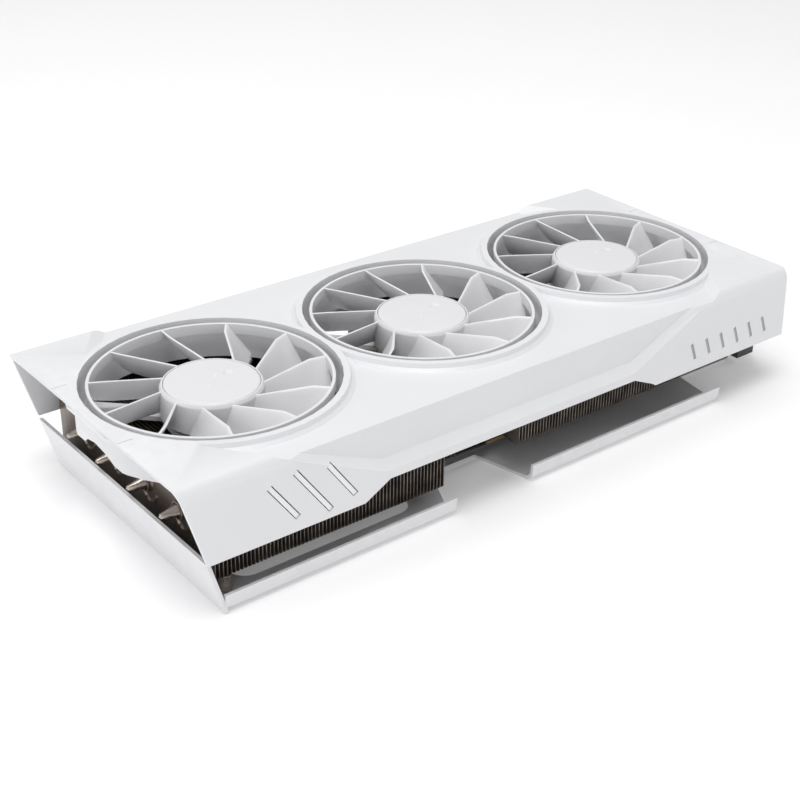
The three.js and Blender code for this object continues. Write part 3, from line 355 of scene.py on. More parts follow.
# Black solder mask above and below, tan glass laminate with its layers on the cut edge
def makeBoardMaterial():
    material, tree, shader, place = newMaterial("boardLaminate")
    grain = addNode(tree, "ShaderNodeGroup", node_tree=grainGroup)
    grain.inputs["Grain Scale"].default_value = 1800.0
    dust = addNode(tree, "ShaderNodeGroup", node_tree=dustGroup)
    dust.inputs["Amount"].default_value = 0.08
    for group in (grain, dust):
        tree.links.new(place, group.inputs["Vector"])
    normal = addNode(tree, "ShaderNodeNewGeometry").outputs["Normal"]
    up = addNode(tree, "ShaderNodeSeparateXYZ", {"Vector": normal}).outputs["Z"]
    cut = rangeNode(tree, mathNode(tree, "ABSOLUTE", up), 0.7, 0.3)
    layers = addNode(tree, "ShaderNodeTexWave", {"Vector": place, "Scale": 700.0, "Distortion": 0.4},
                     bands_direction="Z")
    laminate = mixColours(tree, layers.outputs["Fac"], (0.36, 0.29, 0.11, 1), (0.24, 0.18, 0.06, 1))
    tracks = addNode(tree, "ShaderNodeTexBrick", {
        "Vector": place, "Scale": 260.0, "Mortar Size": 0.035, "Color1": (0, 0, 0, 1),
        "Color2": (0.2, 0.2, 0.2, 1), "Mortar": (1, 1, 1, 1)})
    mask = mixColours(tree, grain.outputs["Drift"], (0.012, 0.013, 0.015, 1), (0.02, 0.021, 0.024, 1))
    traced = mathNode(tree, "MULTIPLY", tracks.outputs["Fac"], 0.4)
    mask = mixColours(tree, traced, mask, (0.03, 0.035, 0.04, 1))
    body = mixColours(tree, cut, mask, laminate)
    body = mixColours(tree, dust.outputs["Dust"], body, (0.5, 0.48, 0.45, 1))
    tree.links.new(body, shader.inputs["Base Color"])
    tree.links.new(rangeNode(tree, cut, 0.0, 1.0, 0.3, 0.7), shader.inputs["Roughness"])
    bump = addNode(tree, "ShaderNodeBump", {
        "Strength": 0.3, "Distance": 0.0001, "Height": grain.outputs["Height"]})
    tree.links.new(bump.outputs[0], shader.inputs["Normal"])
    return material


# A pale floor with the faintest mottling
def makeFloorMaterial():
    material, tree, shader, place = newMaterial("paleFloor")
    mottle = noiseNode(tree, place, 3.0, 4.0, 0.6)
    tree.links.new(mixColours(tree, mottle, (0.86, 0.86, 0.865, 1), (0.89, 0.89, 0.893, 1)),
                   shader.inputs["Base Color"])
    shader.inputs["Roughness"].default_value = 0.9
    shader.inputs["Specular IOR Level"].default_value = 0.1
    shader.inputs["Emission Color"].default_value = (1.0, 1.0, 1.0, 1)
    shader.inputs["Emission Strength"].default_value = 0.16
    return material


finishes = {name: makeMoulded(name, look) for name, look in mouldedLooks.items()}
finishes.update({name: makeRolled(name, look) for name, look in rolledLooks.items()})
finishes["boardLaminate"] = makeBoardMaterial()
print("materials made:", len(finishes))


# Surfaces worked out on a grid

# Each quad joins two neighbours along a row with the two below them
def gridFaces(rows, columns, closedRows=False, closedColumns=False):
    i = np.arange(rows if closedRows else rows - 1)[:, None]
    j = np.arange(columns if closedColumns else columns - 1)[None, :]
    below, beside = (i + 1) % rows, (j + 1) % columns
    corners = [i * columns + j, i * columns + beside, below * columns + beside, below * columns + j]
    return np.stack(np.broadcast_arrays(*corners), -1).reshape(-1, 4)


# Each corner c becomes a parabola (1-t)^2 a + 2t(1-t) c + t^2 b from a point a before it to b after it
def softened(corners, reach, steps=4, closed=True):
    c = np.asarray(corners, float)
    before, after = np.roll(c, 1, 0) - c, np.roll(c, -1, 0) - c
    lengths = [np.linalg.norm(side, axis=1, keepdims=True) for side in (before, after)]
    a, b = (c + side * np.minimum(reach / length, 0.45)
            for side, length in zip((before, after), lengths))
    t = np.linspace(0, 1, steps)[None, :, None]
    arcs = (1 - t) ** 2 * a[:, None] + 2 * t * (1 - t) * c[:, None] + t ** 2 * b[:, None]
    if closed:
        return arcs.reshape(-1, c.shape[1])
    return np.concatenate([c[:1], arcs[1:-1].reshape(-1, c.shape[1]), c[-1:]])


# x = r cos a, y = r sin a, z = h for every profile point (r, h) and every angle a
def turnedPart(profile, sides, centre=(0, 0, 0), axis="z", closed=False):
    r, h = np.asarray(profile, float).T
    a = np.linspace(0, fullTurn, sides, endpoint=False)
    points = np.stack([np.outer(r, np.cos(a)), np.outer(r, np.sin(a)), np.outer(h, np.ones(sides))], -1)
    order = {"z": [0, 1, 2], "x": [2, 0, 1], "y": [1, 2, 0]}[axis]
    points = points[..., order].reshape(-1, 3) + np.asarray(centre, float)
    return points, [gridFaces(len(r), sides, closed, True)]


# Flat outlines (n, k, 3) carried straight along an offset: walls between the two copies, and two lids
def slabPart(outlines, offset):
    low = np.asarray(outlines, float)
    count, corners = low.shape[:2]
    points = np.stack([low, low + np.asarray(offset, float).reshape(-1, 1, 3)], 1)
    start = np.arange(count)[:, None] * 2 * corners
    j = np.arange(corners)[None, :]
    after = (j + 1) % corners
    walls = np.stack([start + j, start + after, start + corners + after, start + corners + j], -1)
    lids = np.concatenate([start + j[:, ::-1], start + corners + j])
    return points.reshape(-1, 3), [walls.reshape(-1, 4), lids]


# Straight boxes from arrays of lowest and highest corners
def boxesPart(lows, highs):
    low, high = np.atleast_2d(np.asarray(lows, float)), np.atleast_2d(np.asarray(highs, float))
    x0, y0, z0 = low.T
    x1, y1, _ = high.T
    outlines = np.stack([np.stack([x0, y0, z0], -1), np.stack([x1, y0, z0], -1),
                         np.stack([x1, y1, z0], -1), np.stack([x0, y1, z0], -1)], 1)
    return slabPart(outlines, np.stack([0 * x0, 0 * x0, high[:, 2] - z0], -1))


# Centre + r (cos a u + sin a w) along a path, with u and w square to it, and a lid on each end
def sweptPart(path, radii, sides, across=(0, 1, 0)):
    path = np.asarray(path, float)
    along = np.gradient(path, axis=0)
    along /= np.linalg.norm(along, axis=1, keepdims=True)
    u = np.asarray(across, float) - along * (along @ np.asarray(across, float))[:, None]
    u /= np.linalg.norm(u, axis=1, keepdims=True)
    w = np.cross(along, u)
    a = np.linspace(0, fullTurn, sides, endpoint=False)
    r = np.broadcast_to(radii, len(path))[:, None, None]
    circle = np.cos(a)[None, :, None] * u[:, None] + np.sin(a)[None, :, None] * w[:, None]
    points = path[:, None] + r * circle
    ends = np.arange(sides)[None, :]
    last = (len(path) - 1) * sides
    return points.reshape(-1, 3), [gridFaces(len(path), sides, False, True), ends[:, ::-1], ends + last]


# Parts laid end to end: the face numbers of each move up by the points before it
def joined(parts):
    starts = np.cumsum([0] + [len(points) for points, _ in parts])
    points = np.concatenate([points for points, _ in parts])
    faces = [face for start, (_, groups) in zip(starts, parts) for group in groups
             for face in (group + start).tolist()]
    return points, faces


def finishMesh(mesh, tidy, sharpAngle):
    work = bmesh.new()
    work.from_mesh(mesh)
    tidy(work)
    work.to_mesh(mesh)
    work.free()
    mesh.shade_smooth()
    mesh.set_sharp_from_angle(angle=np.radians(sharpAngle))


def addPiece(name, mesh, material, body, slot, nodes=(), bevel=None, bevelSteps=2, bevelAngle=40):
    piece = bpy.data.objects.new(name, mesh)
    bpy.context.scene.collection.objects.link(piece)
    mesh.materials.clear()
    mesh.materials.append(finishes[material])
    if bevel:
        rounding = piece.modifiers.new("edges", "BEVEL")
        rounding.width = bevel * mm
        rounding.segments = bevelSteps
        rounding.limit_method = "ANGLE"
        rounding.angle_limit = np.radians(bevelAngle)
        rounding.harden_normals = True
        rounding.use_clamp_overlap = True
    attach(piece, body)
    if nodes:
        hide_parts(*nodes)
    return piece


# A new piece from its parts: shut seams and poles, then faces outwards
def makePiece(name, parts, material, slot, body="card", nodes=(), sharpAngle=35, **edges):
    points, faces = joined(parts)
    mesh = bpy.data.meshes.new(name)
    mesh.from_pydata((points * mm).tolist(), [], faces)

    def tidy(work):
        bmesh.ops.remove_doubles(work, verts=work.verts, dist=0.002 * mm)
        bmesh.ops.recalc_face_normals(work, faces=work.faces)
    finishMesh(mesh, tidy, sharpAngle)
    return addPiece(name, mesh, material, body, slot, nodes, **edges)


# A copy of a CAD node with its doubles merged and its flat triangles joined, ready to have its edges rounded
def copyPiece(name, node, material, slot, body="card", sharpAngle=32, **edges):
    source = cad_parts[node].data
    points = np.empty(len(source.vertices) * 3)
    source.vertices.foreach_get("co", points)
    corners = np.empty(len(source.loops), int)
    source.loops.foreach_get("vertex_index", corners)
    mesh = bpy.data.meshes.new(name)
    mesh.from_pydata(points.reshape(-1, 3).tolist(), [], corners.reshape(-1, 3).tolist())

    def tidy(work):
        bmesh.ops.remove_doubles(work, verts=work.verts, dist=0.01 * mm)
        bmesh.ops.dissolve_degenerate(work, edges=work.edges, dist=0.01 * mm)
        bmesh.ops.dissolve_limit(work, angle_limit=np.radians(1.2), verts=work.verts, edges=work.edges)
    finishMesh(mesh, tidy, sharpAngle)
    return addPiece(name, mesh, material, body, slot, [node], **edges)


# Shroud

shroudLook = {"edgeRounding": 0.35, "edgeSteps": 3}

copyPiece("shroudShell", "shroud", "shroudWhite", "shroud_plastic", sharpAngle=30,
          bevel=shroudLook["edgeRounding"], bevelSteps=shroudLook["edgeSteps"], bevelAngle=38)

fanCentres = [middleOf("hub_cap_%d" % number) for number in (1, 2, 3)]
rimZ = boxOf("shroud")[1][2]
cardMiddleX = fanCentres[1][0]
cardMiddleY = fanCentres[1][1]

# The front wall's outside is measured from the fans' line and from the rim plane
wall = {
    "footY": -68.5, "footDrop": 5.2, "lowY": -70.0, "lowDrop": 32.6,
    "gillFirst": 42.0, "gillPitch": 13.0, "gillDrop": 19.0, "gillTilt": 0.95, "gillLengths": (20, 26, 20),
    "gillWidth": 2.6, "gillGap": 0.7, "gillEndGap": 0.5, "gillSunk": 0.5, "gillSheet": 1.2,
    "barFirst": 62.0, "barPitch": 9.5, "barDrop": 23.5, "barTilt": -0.35, "barCount": 6, "barWidth": 1.7,
    "barLength": 8.5, "barGap": 0.3, "barSunk": 0.25, "barSheet": 0.9, "endX": 160.75}


# The front wall leans: its Y falls evenly with the drop below the rim plane
def wallY(z):
    share = (rimZ - z - wall["footDrop"]) / (wall["lowDrop"] - wall["footDrop"])
    return cardMiddleY + wall["footY"] + (wall["lowY"] - wall["footY"]) * np.clip(share, 0, 1)


# A thin tile set into the wall: a rectangle turned in X and Z, its Y taken from the wall
def wallTiles(centres, tilt, lengths, width, sunk, thickness):
    centres = np.asarray(centres, float)
    half = np.asarray(lengths, float)[:, None] / 2
    u = np.array([-1, 1, 1, -1]) * half
    v = np.array([-1, -1, 1, 1]) * width / 2 * np.ones_like(half)
    x = centres[:, :1] + u * np.cos(tilt) + v * np.sin(tilt)
    z = centres[:, 1:] - u * np.sin(tilt) + v * np.cos(tilt)
    return slabPart(np.stack([x, wallY(z) + sunk, z], -1), (0, thickness, 0))


gillStart = cardMiddleX - wall["endX"] + wall["gillFirst"]
gillCentres = [(gillStart + wall["gillPitch"] * i, rimZ - wall["gillDrop"]) for i in range(3)]
gillLengths = [length - wall["gillEndGap"] for length in wall["gillLengths"]]
gills = wallTiles(gillCentres, wall["gillTilt"], gillLengths, wall["gillWidth"] - wall["gillGap"],
                  wall["gillSunk"], wall["gillSheet"])
makePiece("gillInserts", [gills], "insertWhite", "shroud_plastic", bevel=0.15)

barStart = cardMiddleX + wall["endX"] - wall["barFirst"]
barCentres = [(barStart + wall["barPitch"] * i, rimZ - wall["barDrop"]) for i in range(wall["barCount"])]
barLengths = [wall["barLength"] - wall["barGap"]] * wall["barCount"]
bars = wallTiles(barCentres, wall["barTilt"] + np.pi / 2, barLengths, wall["barWidth"] - wall["barGap"],
                 wall["barSunk"], wall["barSheet"])
makePiece("barInserts", [bars], "barGrey", "shroud_plastic", bevel=0.12)
print("shroud made")


# Fans

fan = {
    "blades": 11, "hubTop": rimZ - 3.0, "ringTop": rimZ - 0.7, "ringOuter": 48.5, "ringWall": 1.35,
    "ringHeight": 4.9, "hubRadius": 20.7, "hubHeight": 13.2, "hubWall": 1.8, "capSeat": 19.3,
    "hubEdgeDrop": 0.8, "ringEdgeDrop": 0.25, "bladeHeight": 12.4, "bladeLift": 2.0, "bladeThick": 1.5,
    "bladeThin": 0.9, "bendRadius": 40.5, "sweep": 0.3, "tipTurn": 0.06, "wrap": 0.31, "unwrap": 0.1,
    "camber": 0.06, "innerSteps": 18, "outerSteps": 9, "sectionSteps": 28}


# Blade: in plan the top edge runs straight from hub to bend, x = x0 + (x1 - x0) s and y = y1 s, and straight
# on to the ring, so r = hypot(x, y) and lead = atan2(y, x); the angle trails with depth, round a superellipse
def bladesPart(centre, firstTurn):
    inner, outer = fan["hubRadius"] - 0.9, fan["ringOuter"] - 0.5 * fan["ringWall"]
    bendX, bendY = fan["bendRadius"] * np.cos(fan["sweep"]), fan["bendRadius"] * np.sin(fan["sweep"])
    start = (inner - fan["hubRadius"]) / (bendX - fan["hubRadius"])
    s = np.concatenate([np.linspace(start, 1, fan["innerSteps"]), np.linspace(1, 2, fan["outerSteps"])[1:]])
    rise, beyond = np.clip(s, None, 1), np.clip(s - 1, 0, 1)
    reach = outer - fan["bendRadius"]
    onward = fan["sweep"] + fan["tipTurn"]
    x = fan["hubRadius"] + (bendX - fan["hubRadius"]) * rise + reach * np.cos(onward) * beyond
    y = bendY * rise + reach * np.sin(onward) * beyond
    radius, lead = np.hypot(x, y)[None, :, None], np.arctan2(y, x)[None, :, None]
    rise = rise[None, :, None]
    turn = (firstTurn + np.arange(fan["blades"]) * fullTurn / fan["blades"])[:, None, None]
    phase = np.linspace(0, fullTurn, fan["sectionSteps"], endpoint=False)[None, None, :]
    out = (radius - inner) / (outer - inner)
    down = 0.5 - 0.5 * np.cos(phase)
    side = np.sign(np.sin(phase)) * np.abs(np.sin(phase)) ** 0.35
    hubEdge, ringEdge = fan["hubTop"] - fan["hubEdgeDrop"], fan["ringTop"] - fan["ringEdgeDrop"]
    top = hubEdge + (ringEdge - hubEdge) * rise
    foot = hubEdge - fan["bladeHeight"] + fan["bladeLift"] * out
    thick = fan["bladeThick"] + (fan["bladeThin"] - fan["bladeThick"]) * down
    trail = (fan["wrap"] - fan["unwrap"] * out) * (down - fan["camber"] * 4 * down * (1 - down))
    angle = turn + lead - trail + side * thick / 2 / radius * 1.1
    height = top + (foot - top) * down + 0 * angle
    points = np.stack([centre[0] + radius * np.cos(angle), centre[1] + radius * np.sin(angle), height], -1)
    blades, rows, columns = points.shape[:3]
    starts = np.arange(blades)[:, None, None] * rows * columns
    walls = (gridFaces(rows, columns, False, True)[None] + starts).reshape(-1, 4)
    ends = np.arange(columns)[None, :] + starts[:, 0]
    return points.reshape(-1, 3), [walls, ends, ends + (rows - 1) * columns]


def rotorParts(centre, firstTurn):
    top, bottom = fan["hubTop"], fan["hubTop"] - fan["hubHeight"]
    seatZ = top - 1.1
    floor = seatZ - fan["hubWall"]
    outer, inside = fan["hubRadius"], fan["hubRadius"] - fan["hubWall"]
    hub = softened([
        (2.0, floor - 2.8), (4.0, floor - 2.8), (4.0, floor), (inside, floor), (inside, bottom),
        (outer + 0.35, bottom), (outer, top - 1.5), (outer - 0.9, top), (fan["capSeat"], top),
        (fan["capSeat"], seatZ), (2.0, seatZ)], 0.35, 4)
    ringIn, ringOut, ringTop = fan["ringOuter"] - fan["ringWall"], fan["ringOuter"], fan["ringTop"]
    ringLow = ringTop - fan["ringHeight"]
    ring = softened([
        (ringIn + 0.25, ringLow), (ringOut, ringLow), (ringOut, ringTop), (ringIn, ringTop)], 0.3, 5)
    place = (centre[0], centre[1], 0)
    return [turnedPart(hub, 96, place, closed=True), turnedPart(ring, 176, place, closed=True),
            bladesPart(centre, firstTurn)]


# Cap: a shallow dome h = crown (1 - (r/R)^2), with one round dimple pressed in off its axis
capShape = {"radius": 19.0, "thickness": 1.0, "sunk": 0.8, "crown": 0.35, "dimpleAt": (8.6, 1.6),
            "dimpleRadius": 2.2, "dimpleDepth": 0.5, "rings": 60, "sides": 108}


def capPart(centre, firstTurn):
    low = fan["hubTop"] - capShape["sunk"]
    r = np.concatenate([np.linspace(0, capShape["radius"] - 0.5, capShape["rings"]),
                        capShape["radius"] - np.array([0.25, 0.08, 0.0])])[:, None]
    a = np.linspace(0, fullTurn, capShape["sides"], endpoint=False)[None, :]
    x, y = r * np.cos(a), r * np.sin(a)
    edge = np.clip((r - capShape["radius"] + 0.5) / 0.5, 0, 1)
    dx, dy = capShape["dimpleAt"]
    c, s = np.cos(firstTurn), np.sin(firstTurn)
    away = np.hypot(x - (c * dx - s * dy), y - (s * dx + c * dy)) / capShape["dimpleRadius"]
    dimple = capShape["dimpleDepth"] * np.clip(1.25 - away ** 4, 0, 1)
    h = (low + capShape["thickness"] - 0.15 + capShape["crown"] * (1 - (r / capShape["radius"]) ** 2)
         - 0.35 * edge ** 2 - dimple)
    upper = np.stack([x, y, h + 0 * a], -1)
    lower = np.stack([x[::-1], y[::-1], np.full_like(x, low)], -1)[[0, -1]]
    points = np.concatenate([upper, lower]) + np.array([centre[0], centre[1], 0])
    return points.reshape(-1, 3), [gridFaces(len(points), capShape["sides"], False, True)]


firstTurns = (0.014, 0.014, 0.014)
for number, (centre, firstTurn) in enumerate(zip(fanCentres, firstTurns), 1):
    makePiece("fanRotor%d" % number, rotorParts(centre, firstTurn), "fanWhite", "fan_plastic",
              "rotor_%d" % number, ["fan_rotor_%d" % number], sharpAngle=40)
    makePiece("hubCap%d" % number, [capPart(centre, firstTurn)], "capWhite", "cap_plastic",
              "rotor_%d" % number, ["hub_cap_%d" % number], sharpAngle=50)
    copyPiece("fanFrame%d" % number, "fan_frame_%d" % number, "frameGrey", "frame_plastic",
              bevel=0.3, bevelSteps=2)
print("fans made")


# Heatsink

fins = {"pitch": 1.7, "thickness": 0.38, "clear": 54.4, "shelfDrop": 2.5, "flange": 0.3, "flangeReach": 1.35,
        "flangeWide": 5.0, "cornerCut": 1.2}
shelfZ = boxOf("fan_frame_1")[0][2] - fins["shelfDrop"]
pipes = {"radius": 3.0, "taper": 8.2, "tipRadius": 0.85, "sides": 28}


# Fin outlines: the low middle is as wide as the fan circle over it, half = sqrt(clear^2 - off^2)
def finPart(node):
    low, high = boxOf(node)
    count = int(round((high[0] - low[0] - fins["thickness"]) / fins["pitch"]))
    x = low[0] + np.arange(count + 1) * (high[0] - low[0] - fins["thickness"]) / count
    off = np.abs(x[:, None] - np.array([c[0] for c in fanCentres])[None, :]).min(1)
    half = np.sqrt(np.maximum(fins["clear"] ** 2 - np.maximum(off - 1, 0) ** 2, 16))
    y0, y1 = low[1] + 0 * x, high[1] + 0 * x
    left, right = np.maximum(cardMiddleY - half, y0 + 0.8), np.minimum(cardMiddleY + half, y1 - 0.8)
    z0, z1, shelf = low[2] + 0 * x, high[2] + 0 * x, shelfZ + 0 * x
    cut = fins["cornerCut"]
    corners = [(y0 + cut, z0), (y1 - cut, z0), (y1, z0 + cut), (y1, z1), (right, z1), (right, shelf),
               (left, shelf), (left, z1), (y0, z1), (y0, z0 + cut)]
    outlines = np.stack([np.stack([x, y, z], -1) for y, z in corners], 1)
    parts = [slabPart(outlines, (fins["thickness"], 0, 0))]
    reach, wide, sheet = fins["flangeReach"], fins["flangeWide"], fins["flange"]
    for start in (low[1] + 2.0, cardMiddleY - 2.5, high[1] - 2.0 - wide):
        lows = np.stack([x, start + 0 * x, z0], -1)
        parts.append(boxesPart(lows[:-1], lows[:-1] + (reach, wide, sheet)))
    for start, top in ((low[1], 0), (high[1] - sheet, 0)):
        lows = np.stack([x, start + 0 * x, z1 - 9 - top], -1)
        parts.append(boxesPart(lows[:-1], lows[:-1] + (reach, sheet, 2.5)))
    return parts


farLow, farHigh = boxOf("fin_stack_far")
nearLow, nearHigh = boxOf("fin_stack_near")
makePiece("finsFar", finPart("fin_stack_far"), "finTaupeShaded", "fin_metal", nodes=["fin_stack_far"])
makePiece("finsNear", finPart("fin_stack_near"), "finTaupeShaded", "fin_metal", nodes=["fin_stack_near"])


# The pipe's centre line: straight, then an even S-bend z = high + (low - high) (3t^2 - 2t^3), then straight
def pipePath(node):
    low, high = boxOf(node)
    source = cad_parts[node].data
    points = np.array([v.co for v in source.vertices]) / mm
    farEnd = points[points[:, 0] < low[0] + 30]
    nearEnd = points[points[:, 0] > high[0] - 1]
    start, end = (np.array([(group[:, k].min() + group[:, k].max()) / 2 for k in (1, 2)])
                  for group in (farEnd, nearEnd))
    bendFrom, bendTo = farHigh[0] + 1, nearLow[0] - 1
    tip = low[0] + np.array([0, 0.15, 0.5, 1.2, 2.5, 4.0, 5.5, 7.0, 8.0, 8.6])
    x = np.concatenate([tip, np.linspace(low[0] + 12, bendFrom - 1, 8), np.linspace(bendFrom, bendTo, 28),
                        np.linspace(bendTo + 1, high[0] - 1, 6), [high[0] - 0.3, high[0]]])
    t = np.clip((x - bendFrom) / (bendTo - bendFrom), 0, 1)[:, None]
    yz = start + (end - start) * (3 * t ** 2 - 2 * t ** 3)
    grown = np.clip((x - low[0]) / pipes["taper"], 0, 1)
    r = pipes["tipRadius"] + (pipes["radius"] - pipes["tipRadius"]) * grown
    r = np.where(x < low[0] + 0.3, r - 0.45, r)
    r[-1] = pipes["radius"] - 0.4
    return np.column_stack([x, yz]), r


for number in range(1, 5):
    path, radii = pipePath("heat_pipe_%d" % number)
    makePiece("heatPipe%d" % number, [sweptPart(path, radii, pipes["sides"])], "pipeNickel", "pipe_metal",
              nodes=["heat_pipe_%d" % number])

endFin = {"thickness": 0.6, "stepY": 0.6, "stepZ": 0.6, "arcRadius": 5.4, "arcWidth": 0.5, "arcRelief": 0.9,
          "collarLength": 2.0, "collarWall": 0.7, "collarFlare": 0.7}


# End sheet: x = face - relief(y, z), where relief is a ridge along part of a circle below each pipe
def endSheetPart():
    y = np.arange(farLow[1] + 0.6, farHigh[1] - 0.6, endFin["stepY"])
    z = np.arange(farLow[2] + 0.6, shelfZ + 3, endFin["stepZ"])
    y, z = np.meshgrid(y, z, indexing="ij")
    relief = 0 * y
    for middle in pipeCentres:
        dy, dz = y - middle[0] + 1.5, z - middle[1] + 2.0
        ring = np.exp(-((np.hypot(dy, dz) - endFin["arcRadius"]) / endFin["arcWidth"]) ** 2)
        turn = np.arctan2(dz, dy)
        relief = relief + endFin["arcRelief"] * ring * (np.abs(turn + 1.7) < 1.15)
    front = farLow[0] - 0.25 - relief
    back = np.full_like(front, farLow[0] + endFin["thickness"])
    rows, columns = y.shape
    upper, lower = np.stack([front, y, z], -1), np.stack([back, y, z], -1)
    points = np.concatenate([upper.reshape(-1, 3), lower.reshape(-1, 3)])
    faces = gridFaces(rows, columns)
    rim = np.concatenate([np.arange(columns), np.arange(1, rows) * columns + columns - 1,
                          (rows - 1) * columns + np.arange(columns - 2, -1, -1),
                          np.arange(rows - 2, 0, -1) * columns])
    after = np.roll(rim, -1)
    shift = rows * columns
    walls = np.stack([rim, after, after + shift, rim + shift], -1)
    return points, [faces, faces[:, ::-1] + shift, walls]


pipeCentres = [pipePath("heat_pipe_%d" % number)[0][12, 1:] for number in range(1, 5)]
collarIn, collarOut = pipes["radius"] + 0.1, pipes["radius"] + endFin["collarWall"]
collar = softened([
    (collarIn, 0.0), (collarOut + endFin["collarFlare"], 0.0), (collarOut, -0.6),
    (collarOut, -endFin["collarLength"]), (collarIn, -endFin["collarLength"])], 0.25, 3)
collars = [turnedPart(collar, 40, (farLow[0] - 0.2, y, z), "x", True) for y, z in pipeCentres]
makePiece("endFin", [endSheetPart()] + collars, "endFinTaupe", "fin_metal", sharpAngle=50)
print("heatsink made")


# Circuit board and what stands on it

boardLow, boardHigh = boxOf("circuit_board")
gpuMiddle = middleOf("gpu_package")

layout = {
    "choke": (6.8, 6.8, 4.2), "powerStage": (5.0, 6.0, 0.9), "canRadius": 2.6, "canHeight": 5.2, "sunk": 0.02,
    "fingerPitch": 1.0, "fingerWidth": 0.7, "fingerLength": 4.2, "fingerSheet": 0.05,
    "rows": {  # beside the far and the near stack: X from its end, Y from the middle, pitch, how many
        "choke": ((9, -18, 8.4, 8), (-26, -30, 8.4, 9)),
        "can": ((18, -18, 7.2, 9), (-14, -28, 7.2, 9)),
        "powerStage": ((27, -18, 8.4, 8), (-19.5, -30, 8.4, 9))}}
seatZ = boardHigh[2] - layout["sunk"]


def spotsOf(kind):
    spots = []
    for end, (x, y, pitch, count) in zip((farHigh[0], nearHigh[0]), layout["rows"][kind]):
        spots.append(np.column_stack([np.full(count, end + x), cardMiddleY + y + pitch * np.arange(count)]))
    return np.concatenate(spots)


def standing(spots, size, base):
    half = np.array([size[0] / 2, size[1] / 2])
    lows = np.column_stack([spots - half, np.full(len(spots), base)])
    return boxesPart(lows, lows + np.array(size))


makePiece("chokes", [standing(spotsOf("choke"), layout["choke"], seatZ)],
          "chokeGrey", "chip", bevel=0.6, bevelSteps=3)
makePiece("powerStages", [standing(spotsOf("powerStage"), layout["powerStage"], seatZ)],
          "chipEpoxy", "chip", bevel=0.15)
canOut, canTop = layout["canRadius"], layout["canHeight"]
can = softened([(0, 0), (canOut - 0.2, 0), (canOut, 0.8), (canOut, canTop), (canOut - 0.8, canTop),
                (canOut - 1.0, canTop - 0.2), (0, canTop - 0.2)], 0.3, 4, closed=False)
makePiece("capacitorCans", [turnedPart(can, 28, (x, y, seatZ)) for x, y in spotsOf("can")],
          "canAluminium", "steel")

tinyX, tinyY = np.meshgrid(np.arange(-5, 6) * 1.25, np.arange(-5, 6) * 1.25)
tinySpots = np.column_stack([tinyX.ravel() + gpuMiddle[0], tinyY.ravel() + gpuMiddle[1]])
tinySpots = tinySpots[(np.arange(len(tinySpots)) * 7) % 5 != 0]
makePiece("smallCapacitors", [standing(tinySpots, (0.9, 0.5, 0.45), boardLow[2] - 0.43)],
          "canAluminium", "steel", bevel=0.06)

slotKeyX = cardMiddleX + 161.05 - 57.15
fingerX = np.concatenate([np.arange(slotKeyX - 71.6, slotKeyX - 1.8, layout["fingerPitch"]),
                          np.arange(slotKeyX + 1.6, slotKeyX + 12.4, layout["fingerPitch"])])
fingerLow = np.column_stack([fingerX, np.full(len(fingerX), boardHigh[1] - 0.9 - layout["fingerLength"])])
fingerParts = []
for base in (seatZ, boardLow[2] - layout["fingerSheet"] + layout["sunk"]):
    lows = np.column_stack([fingerLow, np.full(len(fingerX), base)])
    fingerParts.append(boxesPart(
        lows, lows + (layout["fingerWidth"], layout["fingerLength"], layout["fingerSheet"])))
makePiece("slotContacts", fingerParts, "contactGold", "board")

# Power sockets: the shell, the ribs that part its eight ways, and a pin in each way
for number in (1, 2):
    node = "power_socket_%d" % number
    low, high = boxOf(node)
    copyPiece("powerShell%d" % number, node, "socketBlack", "black_plastic", bevel=0.25)
    floorZ, roofZ = low[2] + 1.0, low[2] + 9.0
    ribX = low[0] + 1.2 + (high[0] - low[0] - 2.4) * np.arange(1, 4) / 4
    ribLow = np.column_stack([ribX - 0.35, np.full(3, low[1] + 0.8), np.full(3, floorZ)])
    midZ = (floorZ + roofZ) / 2
    shelfLow = (low[0] + 1.0, low[1] + 0.8, midZ - 0.35)
    makePiece("socketRibs%d" % number, [
        boxesPart(ribLow, ribLow + (0.7, 9.6, roofZ - floorZ)),
        boxesPart(shelfLow, (high[0] - 1.0, low[1] + 10.4, midZ + 0.35))], "socketBlack", "black_plastic")
    pinX = low[0] + 1.2 + (high[0] - low[0] - 2.4) * (np.arange(4) + 0.5) / 4
    pinX, pinZ = np.meshgrid(pinX, [midZ - 2.1, midZ + 2.1])
    pinPath = np.column_stack([pinX.ravel(), pinZ.ravel()])
    pinProfile = softened([(0, 0), (0.35, 0), (0.5, 0.6), (0.5, 7.8), (0, 7.8)], 0.15, 3, closed=False)
    pins = [turnedPart(pinProfile, 12, (x, low[1] + 3.0, z), "y") for x, z in pinPath]
    makePiece("socketPins%d" % number, pins, "contactGold", "steel")

# Display sockets: the shell, and a tongue with its row of contacts
for number in (1, 2, 3, 4):
    node = "display_socket_%d" % number
    low, high = boxOf(node)
    copyPiece("displayShell%d" % number, node, "portSteel", "port_steel", bevel=0.18)
    tongueLow = np.array([high[0] - 11.2, low[1] + 2.2, low[2] + 2.6])
    tongueHigh = np.array([high[0] - 2.0, high[1] - 2.2, low[2] + 4.0])
    makePiece("displayTongue%d" % number, [boxesPart(tongueLow, tongueHigh)], "socketBlack", "black_plastic",
              bevel=0.25)
    contactY = np.linspace(tongueLow[1] + 0.5, tongueHigh[1] - 0.8, 10)
    contactLow = np.column_stack([
        np.full(10, tongueHigh[0] - 6), contactY, np.full(10, tongueHigh[2] - 0.03)])
    makePiece("displayContacts%d" % number, [boxesPart(contactLow, contactLow + (5.4, 0.4, 0.1))],
              "contactGold", "board")

